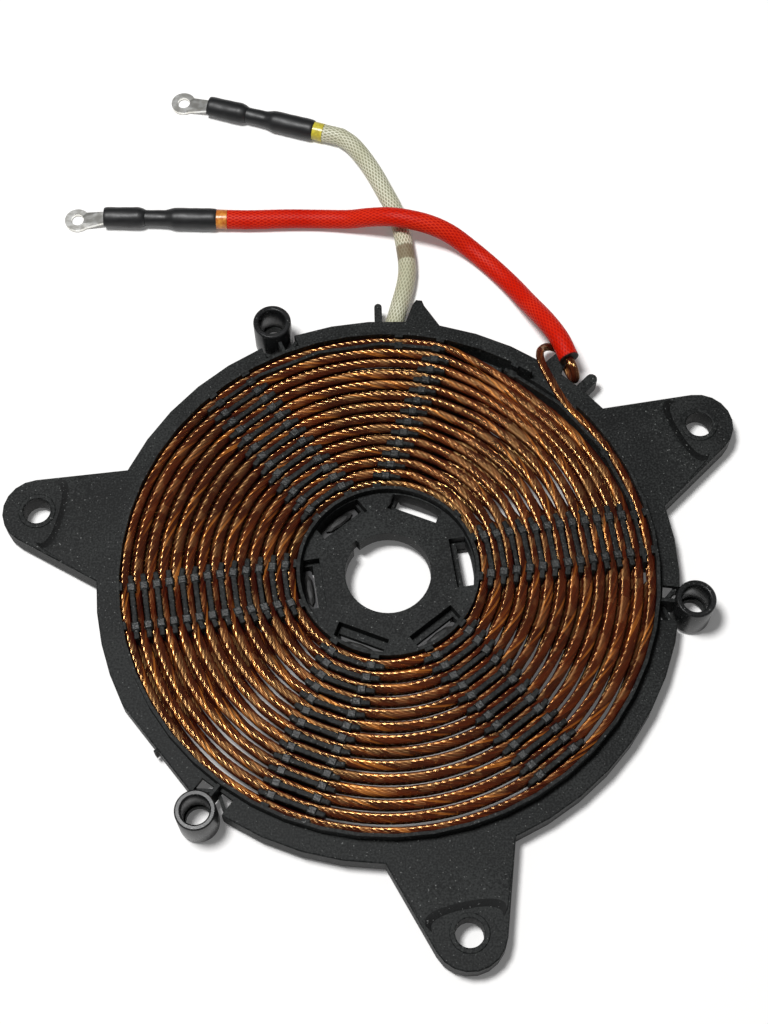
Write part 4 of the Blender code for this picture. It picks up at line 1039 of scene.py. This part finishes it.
@dataclass
class SleevedLead:
    """One lead: braided sleeve, end tape, two lengths of shrink tube and a ring terminal."""

    colour: str
    route: tuple[Triple, ...]
    diameter: float
    heading: float
    slot: Slot
    braid: VarnishedBraid
    tape: ClearTape
    shrink: Material
    tin: Material
    gap: float = 0.0003
    thick: float = 0.00395
    neck: float = 0.0030
    crimp: float = 0.0039
    tape_length: float = 0.0036
    splice_length: float = 0.0158
    neck_length: float = 0.0105
    crimp_length: float = 0.0150
    yarn_depth: float = 0.00016
    yarn_height: float = 0.00006
    slow_height: float = 0.00004
    slow_pace: float = 95.0

    def middle_line(self) -> Array:
        """Returns the sleeve's middle line, straight at its far end."""
        fine = curve_through(np.array(self.route), 12)
        end = fine[-1] + np.array(polar(self.diameter, self.heading))
        return np.concatenate([fine, [end]])

    def sleeve(self) -> Object:
        """Returns the braided sleeve, with the yarns' bumps in its shape."""
        points, run = evenly(self.middle_line(), 0.00030)
        yarns = self.braid.yarns
        around = np.arange(yarns * 4) / 4 * math.tau
        along = run[:, None] / self.braid.pitch * math.tau
        weave = np.maximum(np.sin(along + around), np.sin(along - around))
        radii = self.diameter / 2 - self.yarn_depth + self.yarn_height * weave
        slow = np.sin(run * self.slow_pace)[:, None] * self.slow_height
        obj = sweep(f"{self.colour}_braided_sleeve", points, radii + slow, run)
        return dressed(obj, self.braid.build(), [f"{self.colour}_lead_sleeve"])

    def station(self, distance: float) -> Array:
        """Returns a point beyond the sleeve's end, at this distance along the lead."""
        return self.middle_line()[-1] + np.array(polar(distance, self.heading))

    def turned(self, name: str, stations: Pairs, wave: float, squash: float) -> Object:
        """A round tube beyond the sleeve's end.

        Args:
            name: The object's name.
            stations: Distance from the sleeve's end and radius, in order.
            wave: Size of its unevenness.
            squash: Share by which it is flattened, growing to its far end.

        Returns:
            The tube.
        """
        places = np.array([self.station(distance) for distance, _ in stations])
        points, run = evenly(places, 0.0004)
        travelled = np.linalg.norm(places - places[0], axis=1)
        radius = np.interp(run, travelled, [value for _, value in stations])
        radius[1:-1] = np.convolve(radius, (0.25, 0.5, 0.25), mode="valid")
        around = np.arange(40) / 40 * math.tau
        uneven = np.sin(run[:, None] * 900 + around * 2) * np.sin(run[:, None] * 430 - around * 3) * wave
        flat = 1 - squash * np.abs(np.cos(around)) * (run / run[-1])[:, None]
        return sweep(name, points, radius[:, None] * flat + uneven, run)

    def fittings(self) -> list[Object]:
        """Returns the tape, the two shrink tubes and the terminal."""
        thick, neck, crimp = self.thick, self.neck, self.crimp
        tape_end = self.gap + self.tape_length
        start = tape_end + self.gap
        shoulder = start + self.splice_length
        end = shoulder + self.neck_length
        barrel = end + self.gap
        finish = barrel + self.crimp_length
        tape = ((0.0001, self.diameter / 2), (tape_end + 0.0002, self.diameter / 2))
        splice = (
            (start - 0.0002, thick - 0.00030), (start + 0.0004, thick - 0.00004),
            (start + 0.0020, thick), (shoulder - 0.0012, thick), (shoulder, thick - 0.00012),
            (shoulder + 0.0012, neck + 0.00045), (shoulder + 0.0030, neck), (end, neck - 0.0001),
        )
        sheath = (
            (barrel - 0.0002, crimp - 0.00085), (barrel + 0.0006, crimp - 0.00040),
            (barrel + 0.0022, crimp), (finish - 0.0006, crimp - 0.00004), (finish, crimp - 0.00028),
        )
        pieces = []
        for name, node, stations, wave, squash, material, slot in (
            ("end_tape", "tape", tape, 0.00003, 0.0, self.tape.build(), Slot.TAPE),
            ("shrink_tube", "shrink", splice, 0.00005, 0.0, self.shrink, Slot.SHRINK),
            ("crimp_shrink_tube", "crimp_shrink", sheath, 0.00005, 0.10, self.shrink, Slot.SHRINK),
        ):
            obj = self.turned(f"{self.colour}_{name}", stations, wave, squash)
            pieces.append(dressed(obj, material, [f"{self.colour}_lead_{node}"]))
        terminal = self.terminal(finish)
        return [*pieces, dressed(terminal, self.tin, [f"{self.colour}_lead_ring_terminal"])]

    def terminal(self, start: float) -> Object:
        """The ring terminal.

        Args:
            start: Where the shrink tube ends, from the sleeve's end.

        Returns:
            A flat ring with its tongue, and the mouth of its barrel.
        """
        bm = bmesh.new()
        outside, hole, span, thickness = 0.00465, 0.00235, 0.0055, 0.0010
        tongue_start, tongue_half, taper = -0.0036, 0.0026, 0.88
        bend_start, bend_rise, floor_gap = 0.0048, 0.0021, 0.0004
        outer, inner = (
            bmesh.ops.create_circle(bm, segments=48, radius=radius, cap_ends=False)["verts"]
            for radius in (outside, hole)
        )
        bmesh.ops.bridge_loops(bm, edges=list(bm.edges))
        reach = span + outside
        for vert in outer:
            if vert.co.x < tongue_start:
                vert.co.x = -reach
                vert.co.y = max(-tongue_half, min(tongue_half, vert.co.y * taper))
        top = bmesh.ops.extrude_face_region(bm, geom=[*bm.faces, *bm.edges, *bm.verts])["geom"]
        raised = [item for item in top if isinstance(item, BMVert)]
        bmesh.ops.translate(bm, vec=UP * thickness, verts=raised)
        for vert in bm.verts:
            climb = max(0.0, (-vert.co.x - bend_start) / (reach - bend_start))
            vert.co.z += bend_rise * climb * climb
        bmesh.ops.recalc_face_normals(bm, faces=bm.faces)
        x, y, _ = self.station(start + self.gap + reach)
        turn = Matrix.Rotation(math.radians(self.heading), 4, "Z")
        place = Matrix.Translation(Vector((x, y, floor_gap)) + AXIS)
        bmesh.ops.transform(bm, matrix=place @ turn, verts=bm.verts)
        return published(bm, f"{self.colour}_ring_terminal", 30.0)

    def build(self) -> None:
        """Makes the lead and logs its sleeve's length."""
        sleeve = self.sleeve()
        pieces = self.fittings()
        path, run = evenly(self.middle_line(), 0.0045)
        path = path + np.array(AXIS)
        LOG.info("%s lead: sleeve %.4f m", self.colour, run[-1])


@dataclass
class Studio:
    """The floor, the lights and the camera."""

    lens: float = 63.47
    camera_place: Triple = (0.0008188, -0.2277304, 0.570604)
    tilt: float = 0.42039
    roll: float = 0.0039
    lamp_place: Triple = (-0.278, 0.02, 1.15)
    lamp_size: float = 0.26
    lamp_power: float = 13.0
    sky: float = 0.13
    glow: float = 0.10
    floor_half: float = 3.0
    floor_drop: float = 0.0001
    floor_colour: Triple = (0.93, 0.925, 0.92)

    def camera(self) -> None:
        """Places the camera at the photograph's angle."""
        data = bpy.data.cameras.new("camera")
        data.lens = self.lens
        data.sensor_width = 36.0
        data.sensor_fit = "AUTO"
        data.clip_start = 0.01
        camera = linked("camera", data)
        turn = Matrix.Rotation(self.roll, 4, "Y") @ Matrix.Rotation(self.tilt, 4, "X")
        camera.matrix_world = Matrix.Translation(Vector(self.camera_place) + AXIS) @ turn
        bpy.context.scene.camera = camera

    def lamp(self) -> None:
        """Hangs one soft lamp up to the left."""
        data = bpy.data.lights.new("soft_lamp", "AREA")
        data.shape = "DISK"
        data.size = self.lamp_size
        data.energy = self.lamp_power
        place = Vector(self.lamp_place) + AXIS
        aim = (AXIS - place).to_track_quat("-Z", "Y").to_matrix().to_4x4()
        linked("soft_lamp", data).matrix_world = Matrix.Translation(place) @ aim

    def world(self) -> None:
        """Fills in a little light from all round."""
        world = bpy.data.worlds.new("studio")
        bpy.context.scene.world = world
        world.use_nodes = True
        light = world.node_tree.nodes["Background"]
        light.inputs["Color"].default_value = (1.0, 1.0, 1.0, 1.0)
        light.inputs["Strength"].default_value = self.sky

    def floor(self) -> None:
        """Lays a plain pale floor that keeps the coil's shadow."""
        bm = bmesh.new()
        bmesh.ops.create_grid(bm, x_segments=1, y_segments=1, size=self.floor_half)
        bmesh.ops.translate(bm, vec=-UP * self.floor_drop, verts=bm.verts)
        floor = published(bm, "floor")
        graph = Graph("pale_floor")
        colour = {"Color": self.floor_colour, "Roughness": 1.0}
        shade = graph.node("ShaderNodeBsdfDiffuse", None, colour)
        path = graph.node("ShaderNodeLightPath")
        seen = Number(graph, path.outputs["Is Camera Ray"])
        for name in ("Is Glossy Ray", "Is Transmission Ray"):
            seen = seen.act("MAXIMUM", Number(graph, path.outputs[name]))
        glow = graph.node("ShaderNodeEmission", None, {"Strength": seen * self.glow})
        both = graph.node("ShaderNodeAddShader", None, {0: shade.outputs[0], 1: glow.outputs[0]})
        graph.tree.links.new(both.outputs[0], graph.output.inputs["Surface"])
        floor.data.materials.append(graph.material)


def dress_ferrites(nodes: dict[str, Object]) -> None:
    """Gives the ferrite bars and their resin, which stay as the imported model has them, their finishes."""
    finishes = {
        "ferrite_bar": FerriteCeramic("ferrite").build(),
        "ferrite_resin": BondingResin("bonding_resin").build(),
    }
    for name, node in nodes.items():
        kind = name.rpartition("_")[0]
        if kind in finishes:
            node.data.materials.clear()
            node.data.materials.append(finishes[kind])


def build_leads() -> None:
    """Makes the red and the white lead."""
    shrink = ShrinkTube("shrink_tube").build()
    tin = TinnedMetal("tinned_metal").build()
    # The gap colours are painted shade between the yarns, and the sheen colours are a painted highlight on
    # their crests.
    red_colours = {"yarn": (0.64, 0.012, 0.001), "gap": (0.46, 0.006, 0.001), "specular_and_painted_sheen": (0.80, 0.050, 0.016)}
    white_colours = {"yarn": (0.54, 0.535, 0.37), "gap": (0.30, 0.295, 0.19), "specular_and_painted_sheen": (0.90, 0.90, 0.76)}
    stain = {"stain": (0.16, 0.11, 0.055), "stain_span": (0.0325, 0.0385)}
    red = VarnishedBraid("red_braid", **red_colours, yarns=18, pitch=0.0026, varnish=0.12)
    white = VarnishedBraid("white_braid", **white_colours, yarns=17, pitch=0.0028, varnish=0.5, **stain)
    amber = ClearTape("amber_tape", tint=(0.78, 0.33, 0.05), deep=(0.50, 0.13, 0.02))
    yellow = ClearTape("yellow_tape", tint=(0.72, 0.62, 0.05), deep=(0.50, 0.42, 0.05))
    for colour, route, diameter, heading, slot, braid, tape in (
        ("red", RED_ROUTE, 0.0072, 178.5, Slot.RED_SLEEVING, red, amber),
        ("white", WHITE_ROUTE, 0.0068, 164.0, Slot.WHITE_SLEEVING, white, yellow),
    ):
        SleevedLead(colour, route, diameter, heading, slot, braid, tape, shrink, tin).build()


def build_winding() -> None:
    """Makes the litz winding, with painted shade darkening the copper of its lower layer."""
    copper = EnamelledCopper("enamelled_copper")
    # Painted shade: a darker copy of the copper for the lower turns, which lie under the upper ones.
    dark = {"deep": (0.026, 0.003, 0.003), "copper": (0.070, 0.009, 0.004), "gold": (0.20, 0.055, 0.010)}
    LitzWinding(copper.build(), EnamelledCopper("enamelled_copper_painted_shade_below", **dark).build()).build()


def build_former(node: Object) -> None:
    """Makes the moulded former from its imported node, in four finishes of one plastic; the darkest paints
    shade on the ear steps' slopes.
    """
    plastic = MouldedPlastic("moulded_charcoal")
    gloss = MouldedPlastic(
        "moulded_gloss", pale=(0.016, 0.016, 0.017), roughness=0.30, specular_and_painted_sheen=0.40, grain=0.00002
    )
    rough = MouldedPlastic(
        "moulded_rough_heads", pale=(0.040, 0.042, 0.041), roughness=0.42, specular_and_painted_sheen=0.40, grain=0.00035
    )
    # Painted shade: a darker copy of the plastic for the slopes of the ear steps.
    band = MouldedPlastic("moulded_painted_shade_band", dark=(0.0025, 0.0028, 0.0028), pale=(0.0075, 0.008, 0.008))
    Former(*(finish.build() for finish in (plastic, gloss, rough, band))).build(node)


def main() -> None:
    """Builds the coil and its setting."""
    logging.basicConfig(level=logging.INFO, format="%(name)s: %(message)s")
    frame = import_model()
    studio = Studio()
    studio.camera()
    build_leads()
    build_winding()
    build_former(frame["nodes"]["coil_former"])
    dress_ferrites(frame["nodes"])
    studio.lamp()
    studio.world()
    studio.floor()
    bpy.context.scene.view_settings.view_transform = "Standard"


if __name__ == "__main__":
    main()
